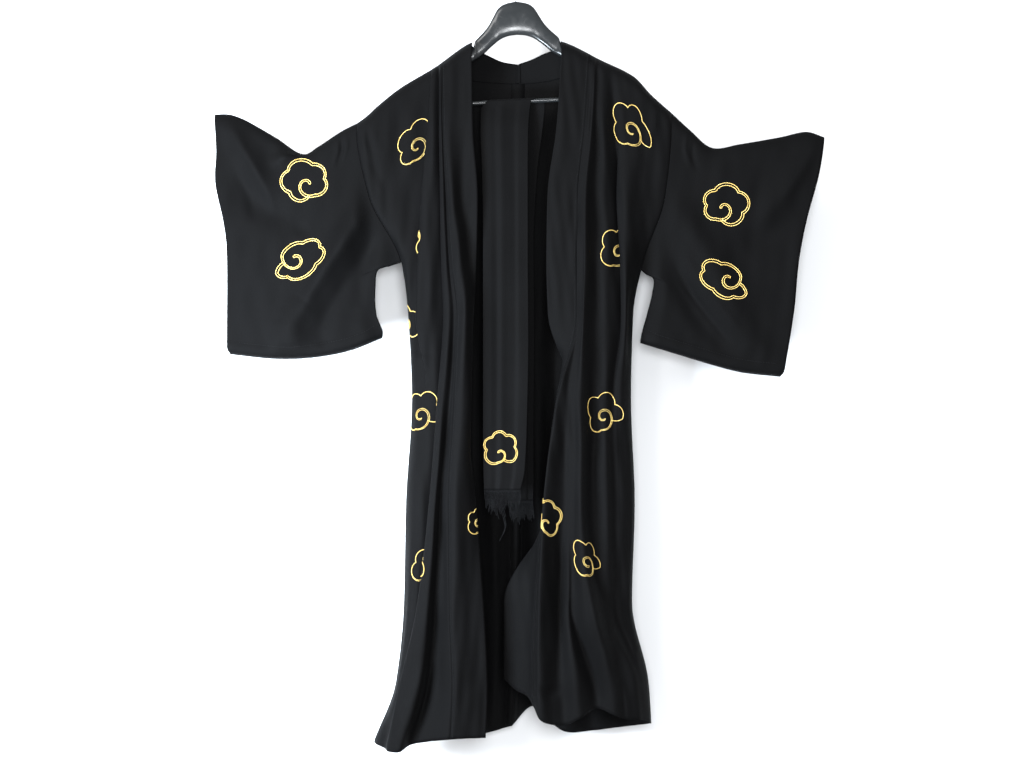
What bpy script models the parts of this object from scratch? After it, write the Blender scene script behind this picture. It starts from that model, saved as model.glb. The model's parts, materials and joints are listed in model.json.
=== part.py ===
"""Open-front kimono-cut robe with its fringed sash, on a moulded clothes hanger.

The origin is the underside of the hook's top, +Z is up and the robe's front
faces -Y. Every cloth piece is a wall through sections across the body: a
section is a smooth line through that height's folds, and the fold tables give
each fold's place across and how far it stands forward, in millimetres.
"""
import math

import bmesh
import bpy
import numpy as np

MM = 0.001
CLOTH_WALL = 1.4          # crepe, hem turnings and folds as one wall
SEAM_GAP = 0.3            # between two pieces sewn together
BAND_WIDTH = 66.0         # collar band, its width down both fronts
SHOULDER_ROUND = 26.0     # drop over which the cloth rounds off the shoulder line
HANGER_TILT = math.radians(2.4)   # the left arm hangs lower

BACK_COLUMNS = 2          # from one fold of the back to the next
ROWS_ROUND = (0.0, 2.5, 9.0, 26.0)   # drops below the shoulder line
ROWS_ARMHOLE = 6
ROWS_SKIRT = 13
SAMPLES = 24              # points of a section between two folds
LEVEL_STEP = 10.0         # heights at which sections are worked out
TOP_LEVEL, LOW_LEVEL = 130.0, 1480.0

# Heights of the fold tables, as drops below the hook
DROPS = (170, 300, 430, 550, 650, 810, 1000, 1190, 1340, 1450)

# A row is a fold: name, across at each drop, forward at each drop, drop of the
# hem, and how many columns of the wall reach to the next fold. The rows run from
# the free front edge round to the side seam. The right front's fold edge lies
# over the cloth inside it, so its two rows come the other way round.
LEFT_FRONT = (
    ("inner edge", (-79, -77, -68, -70, -75, -88, -71, -56, -49, -53),
     (30, 36, 38, 31, 20, 24, 36, 52, 60, 66), 1433, 2),
    ("inner valley", (-100, -103, -96, -83, -77, -79, -84, -82, -76, -78),
     (30, 34, 33, 36, 38, 45, 52, 60, 66, 70), 1433, 2),
    ("front ridge", (-120, -120, -114, -100, -90, -94, -107, -108, -104, -104),
     (32, 40, 48, 54, 58, 62, 66, 71, 76, 78), 1433, 2),
    ("band seam", (-134, -131, -124, -117, -106, -112, -122, -120, -114, -118),
     (31, 38, 43, 48, 50, 54, 58, 66, 74, 77), 1434, 2),
    ("skirt valley", (-136, -133, -127, -121, -112, -120, -137, -145, -158, -190),
     (31, 37, 40, 44, 46, 48, 46, 44, 46, 52), 1448, 2),
    ("skirt ridge", (-138, -136, -132, -127, -121, -132, -146, -160, -175, -211),
     (31, 39, 44, 48, 52, 57, 62, 66, 70, 72), 1458, 2),
    ("main fold edge", (-140, -140, -138, -136, -132, -143, -158, -180, -213, -235),
     (29, 33, 36, 39, 42, 46, 50, 55, 56, 54), 1460, 3),
    ("under main fold", (-143, -131, -125, -120, -117, -119, -139, -166, -207, -238),
     (27, 21, 19, 21, 23, 26, 31, 38, 44, 44), 1458, 2),
    ("between folds", (-147, -150, -153, -156, -156, -145, -167, -182, -211, -243),
     (28, 34, 37, 38, 37, 34, 38, 41, 38, 34), 1457, 2),
    ("side fold edge", (-152, -162, -173, -180, -184, -158, -180, -192, -215, -248),
     (27, 29, 29, 30, 30, 31, 33, 34, 32, 28), 1456, 3),
    ("under side fold", (-158, -140, -143, -150, -158, -170, -189, -198, -218, -253),
     (24, 17, 14, 14, 16, 25, 27, 27, 25, 22), 1455, 4),
    ("side turn", (-262, -262, -240, -204, -193, -184, -197, -202, -219, -259),
     (20, 22, 20, 15, 14, 15, 16, 16, 15, 13), 1454, 2),
    ("side seam", (-295, -295, -271, -212, -199, -192, -203, -207, -222, -263),
     (14, 14, 14, 2, 0.15, 0.15, 0.15, 0.15, 0.15, 0.15), 1453, 0),
)

RIGHT_FRONT = (
    ("inner edge", (88, 79, 62, 60, 63, 112, 84, -19, -19, 8),
     (31, 37, 37, 36, 32, 16, 6, 4, 8, 14), 1333, 2),
    ("inner ridge", (104, 96, 80, 78, 82, 95, 67, 3, 3, 22),
     (31, 37, 38, 39, 38, 24, 18, 15, 20, 24), 1352, 2),
    ("under turn", (122, 114, 98, 96, 98, 80, 57, 28, 24, 38),
     (31, 37, 40, 41, 40, 36, 34, 32, 34, 38), 1362, 2),
    ("band seam", (140, 131, 118, 116, 116, 78, 54, 40, 34, 46),
     (30, 37, 41, 43, 44, 50, 54, 50, 48, 50), 1380, 2),
    ("leading ridge", (142, 134, 121, 119, 119, 81, 56, 47, 46, 55),
     (30, 38, 42, 44, 46, 58, 66, 74, 74, 68), 1401, 2),
    ("leading valley", (145, 136, 124, 122, 121, 96, 90, 84, 88, 92),
     (30, 38, 44, 46, 48, 51, 46, 42, 50, 56), 1412, 2),
    ("hem flare", (147, 139, 127, 125, 123, 104, 102, 100, 118, 122),
     (30, 39, 46, 48, 50, 52, 50, 50, 68, 68), 1398, 2),
    ("flare valley", (150, 142, 130, 128, 126, 112, 111, 108, 150, 160),
     (30, 39, 48, 50, 53, 55, 55, 48, 46, 50), 1382, 2),
    ("main ridge", (152, 145, 134, 132, 129, 124, 124, 141, 180, 188),
     (29, 40, 49, 53, 56, 61, 66, 72, 64, 58), 1392, 2),
    ("main valley", (156, 153, 153, 154, 152, 148, 146, 164, 203, 214),
     (27, 31, 31, 32, 32, 32, 35, 48, 50, 46), 1402, 2),
    ("shoulder ridge", (164, 166, 170, 174, 172, 170, 172, 178, 224, 236),
     (27, 34, 35, 36, 36, 38, 42, 46, 44, 38), 1404, 3),
    ("under side fold", (182, 188, 203, 212, 205, 184, 187, 190, 236, 244),
     (25, 21, 13, 12, 17, 27, 31, 32, 32, 28), 1407, 3),
    ("side fold edge", (194, 196, 191, 197, 199, 192, 196, 200, 241, 249),
     (24, 25, 29, 31, 29, 28, 29, 28, 26, 22), 1409, 2),
    ("side crest", (210, 210, 204, 208, 208, 200, 206, 207, 245, 253),
     (23, 28, 40, 42, 37, 27, 26, 24, 20, 16), 1411, 2),
    ("side turn", (262, 262, 250, 230, 215, 213, 221, 217, 249, 256),
     (20, 22, 21, 17, 15, 15, 16, 15, 13, 11), 1414, 2),
    ("side seam", (295, 295, 283, 243, 224, 220, 227, 222, 253, 260),
     (14, 14, 14, 2.5, 0.15, 0.15, 0.15, 0.15, 0.15, 0.15), 1418, 0),
)

# The back, from the left side seam to the right one: across, backward, hem
BACK = (
    ("left side seam", (-295, -295, -271, -212, -199, -192, -203, -207, -222, -263),
     (14, 14, 14, 2, 0.15, 0.15, 0.15, 0.15, 0.15, 0.15), 1453),
    ("left turn", (-262, -262, -238, -200, -190, -184, -195, -199, -214, -252),
     (20, 22, 20, 14, 13, 14, 15, 16, 18, 18), 1452),
    ("left valley", (-205, -205, -192, -166, -156, -150, -156, -160, -172, -200),
     (25, 28, 27, 24, 23, 23, 23, 24, 28, 32), 1450),
    ("left ridge", (-150, -150, -145, -130, -126, -120, -122, -124, -130, -146),
     (27, 34, 40, 46, 48, 50, 54, 60, 68, 76), 1452),
    ("left inner valley", (-98, -95, -90, -84, -80, -76, -76, -76, -78, -86),
     (36, 40, 40, 38, 37, 36, 35, 36, 38, 42), 1450),
    ("left inner ridge", (-48, -47, -46, -44, -42, -40, -38, -36, -36, -40),
     (44, 47, 51, 55, 58, 60, 64, 70, 74, 72), 1446),
    ("centre seam", (8, 8, 8, 8, 8, 8, 6, 2, -2, -6),
     (46, 47, 47, 46, 46, 44, 44, 48, 56, 62), 1434),
    ("right inner ridge", (58, 56, 54, 52, 50, 48, 46, 42, 38, 34),
     (44, 47, 51, 55, 58, 62, 70, 84, 98, 108), 1403),
    ("right inner valley", (106, 103, 98, 93, 90, 88, 88, 88, 92, 96),
     (36, 40, 39, 37, 36, 34, 33, 32, 34, 38), 1440),
    ("right ridge", (155, 156, 151, 144, 138, 134, 136, 136, 146, 152),
     (27, 34, 40, 46, 48, 50, 53, 56, 58, 60), 1442),
    ("right valley", (208, 210, 204, 186, 174, 168, 171, 170, 194, 200),
     (25, 28, 27, 24, 23, 23, 23, 24, 26, 28), 1430),
    ("right turn", (262, 262, 252, 229, 213, 211, 218, 214, 244, 250),
     (20, 22, 20, 16, 13, 14, 15, 15, 16, 16), 1422),
    ("right side seam", (295, 295, 283, 243, 224, 220, 227, 222, 253, 260),
     (14, 14, 14, 2.5, 0.15, 0.15, 0.15, 0.15, 0.15, 0.15), 1418),
)

# Shoulder lines: across, drop
LEFT_SHOULDER = ((-60, 132), (-81, 139), (-147, 184), (-214, 224), (-252, 254), (-282, 281), (-300, 293))
RIGHT_SHOULDER = ((60, 130), (91, 137), (162, 171), (226, 203), (256, 235), (280, 257), (300, 274))
# Neck seam of the back panels
NECK_SEAM = ((-147, 184), (-130, 190), (-100, 198), (-60, 203), (8, 206), (60, 202), (104, 191),
             (130, 177), (156, 168))
NECK_TURN = 46.0          # width over which the neck seam turns from the shoulder to the back
UNDERARM = {"left": 551.0, "right": 566.0}

# Collar band behind the neck, from the shoulder line to the centre seam: the
# top edge's across, drop and backward, and where its lower edge is across
LEFT_NECK = ((-80, 141, 12, -141), (-74, 145, 26, -125), (-62, 150, 36, -101),
             (-44, 158, 42, -68), (-22, 167, 45, -32), (7.85, 172, 46, 7.85))
RIGHT_NECK = ((88, 139, 12, 147), (84, 142, 26, 130), (72, 147, 34, 106),
              (54, 154, 37, 74), (32, 164, 39, 40), (8.15, 172, 41, 8.15))
NECK_LIFT = 1.5           # band's lower edge above the back panels' neck seam


def steady(at, places, values):
    """Cubic line through a table that never swings past its values."""
    at, x, y = np.asarray(at, float), np.asarray(places, float), np.asarray(values, float)
    step = np.diff(x)
    slope = np.diff(y) / step
    m = np.empty_like(y)
    m[0], m[-1] = slope[0], slope[-1]
    same = slope[1:] * slope[:-1] > 0
    pair = slope[1:] + slope[:-1]
    m[1:-1] = np.where(same, 2 * slope[1:] * slope[:-1] / np.where(same, pair, 1), 0)
    i = np.clip(np.searchsorted(x, at) - 1, 0, len(step) - 1)
    t = np.clip((at - x[i]) / step[i], 0, 1)
    return ((2 * t ** 3 - 3 * t ** 2 + 1) * y[i] + (t ** 3 - 2 * t ** 2 + t) * step[i] * m[i]
            + (3 * t ** 2 - 2 * t ** 3) * y[i + 1] + (t ** 3 - t ** 2) * step[i] * m[i + 1])


def through(points, samples):
    """Smooth open line through points, with a set number of samples a span."""
    p = np.asarray(points, float)
    p = np.vstack([2 * p[0] - p[1], p, 2 * p[-1] - p[-2]])
    h = np.sqrt(np.linalg.norm(np.diff(p, axis=0), axis=1)) + 1e-6
    line = []
    for i in range(1, len(p) - 2):
        a, b, c = h[i - 1], h[i], h[i + 1]
        before = (p[i] - p[i - 1]) / a
        here = (p[i + 1] - p[i]) / b
        after = (p[i + 2] - p[i + 1]) / c
        start = (before * b + here * a) / (a + b) * b
        end = (here * c + after * b) / (b + c) * b
        t = np.arange(samples)[:, None] / samples
        line.append((2 * t ** 3 - 3 * t ** 2 + 1) * p[i] + (t ** 3 - 2 * t ** 2 + t) * start
                    + (3 * t ** 2 - 2 * t ** 3) * p[i + 1] + (t ** 3 - t ** 2) * end)
    return np.vstack(line + [p[-2][None]])


def round_off(share):
    """Quarter circle, from 0 at the shoulder line to 1 where the cloth hangs."""
    t = np.clip(share, 0, 1)
    return np.sqrt(t * (2 - t))


def fold_points(table, sign, drop):
    """Each fold's across, forward and hem at one height; forward is -Y."""
    across = [steady(drop, DROPS, row[1]) for row in table]
    forward = [sign * steady(drop, DROPS, row[2]) for row in table]
    return np.stack([across, forward, [row[3] for row in table]], axis=1)


def at_index(line, index):
    """A point of a line between two of its samples."""
    places = np.arange(len(line))
    return np.stack([np.interp(index, places, line[:, k]) for k in range(line.shape[1])], axis=-1)


def columns_of(line, first, last, counts, trims):
    """Columns from one fold to another, half a seam's gap in from a trimmed end."""
    index = [first * SAMPLES]
    for span, count in zip(range(first, last), counts):
        index += [(span + (i + 1) / count) * SAMPLES for i in range(count)]
    index = np.array(index, float)
    for end, way in trims:
        speed = np.linalg.norm(at_index(line, index[end] + way)[:2] - at_index(line, index[end])[:2])
        index[end] += way * SEAM_GAP / 2 / max(speed, 0.01)
    return at_index(line, index)


class HalfBody:
    """The cloth of one half of the body, as points on columns and rows."""

    def __init__(self, table, side, fine=1):
        self.side = side
        self.shoulder = LEFT_SHOULDER[::-1] if side == "left" else RIGHT_SHOULDER
        names = [row[0] for row in table]
        seam, end = names.index("band seam"), len(names) - 1
        centre = [row[0] for row in BACK].index("centre seam")
        half = BACK[:centre + 1] if side == "left" else BACK[:centre - 1:-1]
        counts = [fine * row[4] for row in table[:-1]]
        start, stop = (0, 1), (-1, -1)
        rear = end + len(half)
        parts = (("band", 0, seam, counts[:seam], (stop,)),
                 ("front", seam, end, counts[seam:], (start,)),
                 ("back", end + 1, rear, [fine * BACK_COLUMNS] * (len(half) - 1), (stop,)))
        self.columns, place = {}, 0
        for name, first, last, count, _ in parts:
            self.columns[name] = (place, place + sum(count))
            place += sum(count) + 1
        self.levels = np.arange(TOP_LEVEL, LOW_LEVEL, LEVEL_STEP)
        grid = []
        for drop in self.levels:
            folds = np.vstack([fold_points(table, -1, drop), fold_points(half, 1, drop)])
            line = through(folds, SAMPLES)
            grid.append(np.vstack([columns_of(line, *part[1:]) for part in parts]))
        self.grid = np.array(grid)
        self.count = self.grid.shape[1]
        self.tops = np.array([self.top_of(c) for c in range(self.count)])

    def at(self, column, drop):
        """Across, forward and hem of a column at a drop."""
        return np.stack([np.interp(drop, self.levels, self.grid[:, column, k]) for k in range(3)], axis=-1)

    def top_of(self, column):
        """Drop of a column's upper end, on the shoulder line or the neck seam."""
        drop = 250.0
        behind = column >= self.columns["back"][0]
        for _ in range(30):
            x = float(self.at(column, drop)[0])
            drop = 0.5 * (drop + self.line_drop(x, behind))
        return drop

    def line_drop(self, x, behind):
        places, drops = zip(*self.shoulder)
        drop = float(steady(x, places, drops))
        if behind:
            seam_x, seam_drop = zip(*NECK_SEAM)
            if seam_x[0] < x < seam_x[-1]:
                drop = float(steady(x, seam_x, seam_drop))
        return drop

    def neck_share(self, x):
        """How far the neck seam has turned from the shoulder line to the back."""
        edge = -NECK_SEAM[0][0] if self.side == "left" else NECK_SEAM[-1][0]
        return round_off((edge - abs(x)) / NECK_TURN)

    def drops(self, column):
        """The drops of a column's rows, from the shoulder line to the hem."""
        top, arm = self.tops[column], UNDERARM[self.side]
        low = float(self.at(column, 1400.0)[2])
        first = top + np.array(ROWS_ROUND)
        upper = np.linspace(first[-1], arm, ROWS_ARMHOLE + 1)[1:]
        lower = np.linspace(arm, low, ROWS_SKIRT + 1)[1:]
        return np.concatenate([first, upper, lower])

    def column_points(self, column):
        """A column's points in millimetres, with the shoulder rounded off."""
        drops = self.drops(column)
        points = self.at(column, drops)
        share = round_off((drops - drops[0]) / SHOULDER_ROUND)
        if column >= self.columns["back"][0]:
            share = np.maximum(share, self.neck_share(points[0, 0]))
        y = points[:, 1] * share
        y[0] += math.copysign(SEAM_GAP / 2, points[0, 1])
        return np.stack([points[:, 0], y, -drops], axis=1)

    def surface(self):
        """All columns' points and outward normals."""
        p = np.stack([self.column_points(c) for c in range(self.count)])
        down = tangents(p, 1)
        down[:, 0] = (p[:, 1] - p[:, 0]) * (0, 1, 0)
        last_front, first_back = self.columns["front"][1], self.columns["back"][0]
        rows_arm = len(ROWS_ROUND) + ROWS_ARMHOLE
        across = tangents(p, 0)
        across[last_front, :rows_arm] = p[last_front, :rows_arm] - p[last_front - 1, :rows_arm]
        across[first_back, :rows_arm] = p[first_back + 1, :rows_arm] - p[first_back, :rows_arm]
        normal = np.cross(across, down)
        if self.side == "right":
            normal = -normal
        normal /= np.linalg.norm(normal, axis=2)[:, :, None]
        for c in range(first_back, self.count):
            if self.neck_share(p[c, 0, 0]) > 0.3:
                normal[c, 0] = normal[c, 1]
        lean_alike(normal, self.columns["band"][1], self.columns["front"][0], 0)
        lean_alike(normal, last_front, first_back, rows_arm)
        return p, normal


def tangents(points, axis, ring=False):
    """Directions along a grid, halfway between the steps before and after a point."""
    steps = np.diff(points, axis=axis)
    if ring:
        steps = np.roll(points, -1, axis=axis) - points
    steps = steps / (np.linalg.norm(steps, axis=2)[:, :, None] + 1e-9)
    if ring:
        return steps + np.roll(steps, 1, axis=axis)
    first, last = np.take(steps, [0], axis=axis), np.take(steps, [-1], axis=axis)
    return np.concatenate([first, steps], axis=axis) + np.concatenate([steps, last], axis=axis)


def lean_alike(normal, one, other, first_row):
    """Two columns at a seam get one normal, so that their walls don't cross."""
    both = normal[one, first_row:] + normal[other, first_row:]
    both /= np.linalg.norm(both, axis=1)[:, None]
    normal[one, first_row:] = normal[other, first_row:] = both


def wall(name, outer, normal, material, closed=False):
    """A closed wall on a grid of outer points: inner points, and rims round the edge."""
    inner = outer - normal * CLOTH_WALL
    n, m = outer.shape[:2]
    mesh = bmesh.new()
    top, under = [[[mesh.verts.new(p * MM) for p in row] for row in layer] for layer in (outer, inner)]

    def face(*corners):
        mesh.faces.new(corners)

    steps = m if closed else m - 1
    for i in range(n - 1):
        for j in range(steps):
            k = (j + 1) % m
            face(top[i][j], top[i][k], top[i + 1][k], top[i + 1][j])
            face(under[i][j], under[i + 1][j], under[i + 1][k], under[i][k])
        if not closed:
            face(top[i][0], top[i + 1][0], under[i + 1][0], under[i][0])
            face(top[i + 1][-1], top[i][-1], under[i][-1], under[i + 1][-1])
    for j in range(steps):
        k = (j + 1) % m
        face(top[0][k], top[0][j], under[0][j], under[0][k])
        face(top[-1][j], top[-1][k], under[-1][k], under[-1][j])
    bmesh.ops.triangulate(mesh, faces=mesh.faces[:])
    bmesh.ops.recalc_face_normals(mesh, faces=mesh.faces[:])
    return as_object(name, mesh, material)


def as_object(name, mesh, material):
    data = bpy.data.meshes.new(name)
    mesh.to_mesh(data)
    mesh.free()
    data.materials.append(material)
    data.shade_smooth()
    data.set_sharp_from_angle(angle=math.radians(50))
    piece = bpy.data.objects.new(name, data)
    robe.objects.link(piece)
    return piece


def finish(name, colour, roughness, metallic=0.0):
    material = bpy.data.materials.new(name)
    material.use_nodes = True
    shader = material.node_tree.nodes["Principled BSDF"]
    shader.inputs["Base Color"].default_value = (*colour, 1)
    shader.inputs["Roughness"].default_value = roughness
    shader.inputs["Metallic"].default_value = metallic
    return material


for old in list(bpy.data.objects):
    bpy.data.objects.remove(old, do_unlink=True)
robe = bpy.data.collections.new("kimono_robe_on_hanger")
bpy.context.scene.collection.children.link(robe)

CREPE = finish("black_crepe", (0.012, 0.013, 0.015), 0.75)
SASH_CREPE = finish("sash_crepe", (0.014, 0.015, 0.018), 0.7)
PLASTIC = finish("black_plastic", (0.03, 0.033, 0.036), 0.25)
STEEL = finish("hook_steel", (0.6, 0.6, 0.6), 0.2, 1.0)


def neck_rows(table, half, points):
    """The collar band's rows behind the neck, from the shoulder line to centre back."""
    first, last = half.columns["back"]
    seam = points[first:last + 1, 0]
    order = np.argsort(seam[:, 0])
    rows = []
    for across, drop, back, low in table:
        y = np.interp(low, seam[order, 0], seam[order, 1])
        z = np.interp(low, seam[order, 0], seam[order, 2]) + NECK_LIFT
        rows.append(np.linspace((across, back, -drop), (low, y, z), half.columns["band"][1] + 1))
    return np.array(rows)


def body_half(half, points, normals, neck):
    """Collar band, front and back of one side, all cut from one surface."""
    side = half.side
    for piece in ("front", "back"):
        first, last = half.columns[piece]
        wall(f"{piece}_{side}", points[first:last + 1], normals[first:last + 1], CREPE)
    first, last = half.columns["band"]
    behind = neck_rows(neck, half, points).transpose(1, 0, 2)[:, ::-1]
    face = points[first:last + 1].copy()
    face[:, 0, 1] = 0
    whole = np.concatenate([behind, face], axis=1)
    down = tangents(whole, 1)
    across = tangents(whole, 0)
    normal = np.cross(across, down)
    if side == "right":
        normal = -normal
    normal /= np.linalg.norm(normal, axis=2)[:, :, None]
    normal[:, 0] = (0, 1, 0)
    rows = behind.shape[1] + 1
    normal[:, rows:] = normals[first:last + 1, 1:]
    wall(f"collar_{side}", whole, normal, CREPE)


left_half = HalfBody(LEFT_FRONT, "left")
right_half = HalfBody(RIGHT_FRONT, "right")
left_points, left_normals = left_half.surface()
right_points, right_normals = right_half.surface()
centre_normals = np.stack([left_normals[-1], right_normals[-1]])
lean_alike(centre_normals, 0, 1, 0)
left_normals[-1] = right_normals[-1] = centre_normals[0]
body_half(left_half, left_points, left_normals, LEFT_NECK)
body_half(right_half, right_points, right_normals, RIGHT_NECK)


# Sleeves: (across, drop) outlines. The top edge runs from the armhole to the
# corner that is held up, the cuff from there down, the bottom back to the body,
# and the free edge from the underarm down to the bottom.
SLEEVES = {
    "left": {
        "top": ((-323, 304), (-367, 333), (-395, 348), (-449, 316), (-513, 280), (-537, 273)),
        "cuff": ((-562, 273), (-558, 344), (-560, 402), (-545, 474), (-539, 520), (-538, 718)),
        "bottom": ((-248, 694), (-310, 718), (-380, 731), (-449, 733), (-538, 724)),
        "free": ((-237, 558), (-256, 566), (-261, 596), (-259, 649), (-247, 682)),
    },
    "right": {
        "top": ((331, 303), (372, 336), (425, 329), (500, 316), (551, 306)),
        "cuff": ((583, 316), (572, 385), (549, 472), (534, 547), (525, 641), (506, 760)),
        "bottom": ((237, 703), (312, 726), (368, 743), (425, 758), (505, 767)),
        "free": ((250, 574), (262, 582), (260, 610), (250, 650), (241, 682)),
    },
}
# Large folds of a sleeve: way the cloth stands off in front, half width, and the
# line it runs along as (across, drop)
SLEEVE_FOLDS = {
    "left": (
        ("pull to the body", 16, 26, ((-272, 405), (-300, 470), (-350, 560), (-400, 620))),
        ("hang to the bottom", 12, 30, ((-400, 620), (-436, 660), (-430, 725))),
        ("underarm hollow", -10, 22, ((-262, 470), (-285, 560), (-300, 640))),
        ("pull from the corner", 9, 20, ((-540, 290), (-500, 350), (-450, 440))),
        ("cuff hollow", -9, 28, ((-520, 400), (-480, 440), (-420, 470))),
        ("shoulder fold", 10, 12, ((-390, 350), (-420, 352), (-445, 362))),
    ),
    "right": (
        ("pull to the body", 13, 28, ((300, 440), (350, 520), (400, 620), (440, 700))),
        ("underarm hollow", -9, 20, ((285, 520), (310, 585), (345, 650), (400, 715))),
        ("pull from the corner", 9, 22, ((560, 330), (520, 390), (470, 470))),
        ("cuff hollow", -8, 30, ((530, 470), (480, 500), (430, 520))),
    ),
}
SLEEVE_HALF_GAP = 13.0    # front layer to the sleeve's middle
FREE_EDGE_GAP = 7.8       # the same at its free edge below the arm
SLEEVE_COLUMNS = 10
SLEEVE_FREE_ROWS = 5
SLEEVE_LOW_TURN = 14.0    # height over which the layers close at the bottom fold
FOLD_FADE = 30.0          # folds die away this near to the top and the bottom
SEWN_IN = 0.12            # share of the sleeve over which it takes the armhole's shape


def along(points, share):
    """A smooth line's points at shares of its length."""
    line = through(np.asarray(points, float), SAMPLES)
    run = np.concatenate([[0], np.cumsum(np.linalg.norm(np.diff(line, axis=0), axis=1))])
    at = np.asarray(share) * run[-1]
    return np.stack([np.interp(at, run, line[:, k]) for k in range(line.shape[1])], axis=-1)


def near_line(x, drop, line):
    """Distance from points to a broken line, and the share of the line passed there."""
    best = np.full(x.shape, 1e9)
    share = np.zeros(x.shape)
    pieces = len(line) - 1
    for i in range(pieces):
        (ax, ad), (bx, bd) = line[i], line[i + 1]
        ux, ud = bx - ax, bd - ad
        t = np.clip(((x - ax) * ux + (drop - ad) * ud) / (ux * ux + ud * ud), 0, 1)
        d = np.hypot(x - ax - t * ux, drop - ad - t * ud)
        share = np.where(d < best, (i + t) / pieces, share)
        best = np.minimum(best, d)
    return best, share


def stand_off(folds, x, drop):
    """How far folds push the cloth forward at places on a sleeve."""
    total = np.zeros(x.shape)
    for _, height, half_width, line in folds:
        d, share = near_line(x, drop, along(line, np.linspace(0, 1, 9)))
        taper = 0.35 + 0.65 * np.sin(math.pi * np.clip(share, 0, 1))
        total += height * taper * np.exp(-(d / half_width) ** 2)
    return total


def sleeve_rows(side, half, points):
    """Front and back layer of a sleeve as columns from the armhole to the cuff."""
    outline = SLEEVES[side]
    way = -1 if side == "left" else 1
    arm = len(ROWS_ROUND) + ROWS_ARMHOLE
    edge = {"front": half.columns["front"][1], "back": half.columns["back"][0]}
    low = outline["bottom"][0]
    free = along(outline["free"] + (low,), np.linspace(0, 1, SLEEVE_FREE_ROWS + 1))
    u = np.linspace(0, 1, SLEEVE_COLUMNS + 1) ** 1.25
    layers = {}
    for name in ("front", "back"):
        sewn = points[edge[name], :arm]
        inner = np.vstack([np.stack([sewn[:, 0] + way * SEAM_GAP, -sewn[:, 2]], axis=1), free])
        rows = len(inner)
        top = along((tuple(inner[0]),) + outline["top"] + (outline["cuff"][0],), u)
        bottom = along(outline["bottom"], u)
        bottom[-1] = outline["cuff"][-1]
        t = (inner[:, 1] - inner[0, 1]) / (inner[-1, 1] - inner[0, 1])
        t = np.maximum.accumulate(t)
        cuff_height = outline["cuff"][-1][1] - outline["cuff"][0][1]
        share = t * (inner[-1, 1] - inner[0, 1]) / cuff_height
        mix = np.clip((t - t[len(ROWS_ROUND) - 1]) / (1 - t[len(ROWS_ROUND) - 1]), 0, 1)
        cuff = along(outline["cuff"], share * (1 - mix) + t * mix)
        grid = []
        for j, s in enumerate(u):
            straight = (1 - t)[:, None] * inner[0] + t[:, None] * inner[-1]
            straight_out = (1 - t)[:, None] * cuff[0] + t[:, None] * cuff[-1]
            side_part = (1 - s) ** 4 * (inner - straight) + s ** 2 * (cuff - straight_out)
            column = (1 - t)[:, None] * top[j] + t[:, None] * bottom[j] + side_part
            grid.append(column)
        grid = np.array(grid)
        x, drop = grid[..., 0], grid[..., 1]
        from_top = drop - drop[:, :1]
        from_low = drop[:, -1:] - drop
        gap = SLEEVE_HALF_GAP * round_off(from_top / SHOULDER_ROUND) * round_off(from_low / SLEEVE_LOW_TURN)
        sign = -1 if name == "front" else 1
        fade = np.clip(np.minimum(from_top, from_low) / FOLD_FADE, 0, 1)
        y = sign * gap - stand_off(SLEEVE_FOLDS[side], x, drop) * fade
        free_y = sign * FREE_EDGE_GAP * round_off(from_low[0, arm:] / SLEEVE_LOW_TURN)
        first = np.concatenate([sewn[:, 1], free_y])
        blend = np.clip(u / SEWN_IN, 0, 1)
        blend = (blend * blend * (3 - 2 * blend))[:, None]
        y = (1 - blend) * first + blend * y
        y[:, 0] = y[:, -1] = 0
        layers[name] = np.stack([x, y, -drop], axis=2)
    return layers, arm, edge


def sleeve(side, half, points, normals):
    """A sleeve: an open tube, sewn to the armhole above and free below it."""
    layers, arm, edge = sleeve_rows(side, half, points)
    ring = np.concatenate([layers["front"], layers["back"][:, -2:0:-1]], axis=1)
    around = tangents(ring, 1, ring=True)
    out = tangents(ring, 0)
    normal = np.cross(out, around)
    if side == "right":
        normal = -normal
    normal /= np.linalg.norm(normal, axis=2)[:, :, None]
    rows = layers["front"].shape[1]
    normal[0, 1:arm] = normals[edge["front"], 1:arm]
    for row in range(1, arm):
        normal[0, 2 * (rows - 1) - row] = normals[edge["back"], row]
    wall(f"sleeve_{side}", ring, normal, CREPE, closed=True)


sleeve("left", left_half, left_points, left_normals)
sleeve("right", right_half, right_points, right_normals)


# Sash, laid over the trouser bar: each tail's rows as (drop, left edge, right
# edge, forward), and folds along it as (share of the width, height)
BAR_DROP = 249.0
BAR_RADIUS = 4.0
SASH_OVER_BAR = (-54, 32)
FRONT_TAIL = ((262, -62, 30, 7), (300, -63, 27, 14), (380, -60, 26, 19), (520, -58, 26, 22),
              (700, -58, 27, 23), (860, -58, 24, 24), (940, -57, 20, 24), (978, -56, 12, 24))
REAR_TAIL = ((262, -30, 58, -7), (300, -28, 54, -10), (380, -20, 44, -12), (520, -14, 37, -13),
             (700, -12, 38, -13), (860, -12, 37, -13), (960, -12, 37, -13), (1000, -11, 36, -13))
SASH_FOLDS = ((0.0, 0.0), (0.14, 1.6), (0.28, -1.8), (0.45, 2.4), (0.6, -1.6), (0.76, 2.0), (0.9, -1.2),
              (1.0, 0.0))
SASH_COLUMNS = 10
SASH_WRAP = 6             # rows round the bar
FRINGE_BACKING = 4.0      # height of the strip that holds the strands
FRINGE_STEPS = 5
FRINGE = {
    "front": {"strands": 17, "lengths": (34, 22, 40, 28, 46, 30, 58, 26, 110, 34, 24, 42, 30, 20, 36, 26, 18)},
    "rear": {"strands": 15, "lengths": (30, 24, 36, 28, 40, 26, 34, 44, 28, 36, 24, 32, 38, 26, 30)},
}
STRAND_SWAY = 0.09        # sideways, as a share of the drop below the backing
SWAY_LENGTH = 14.0
SWAY_TURN = 0.42          # how far the sway has turned from one strand to the next


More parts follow.
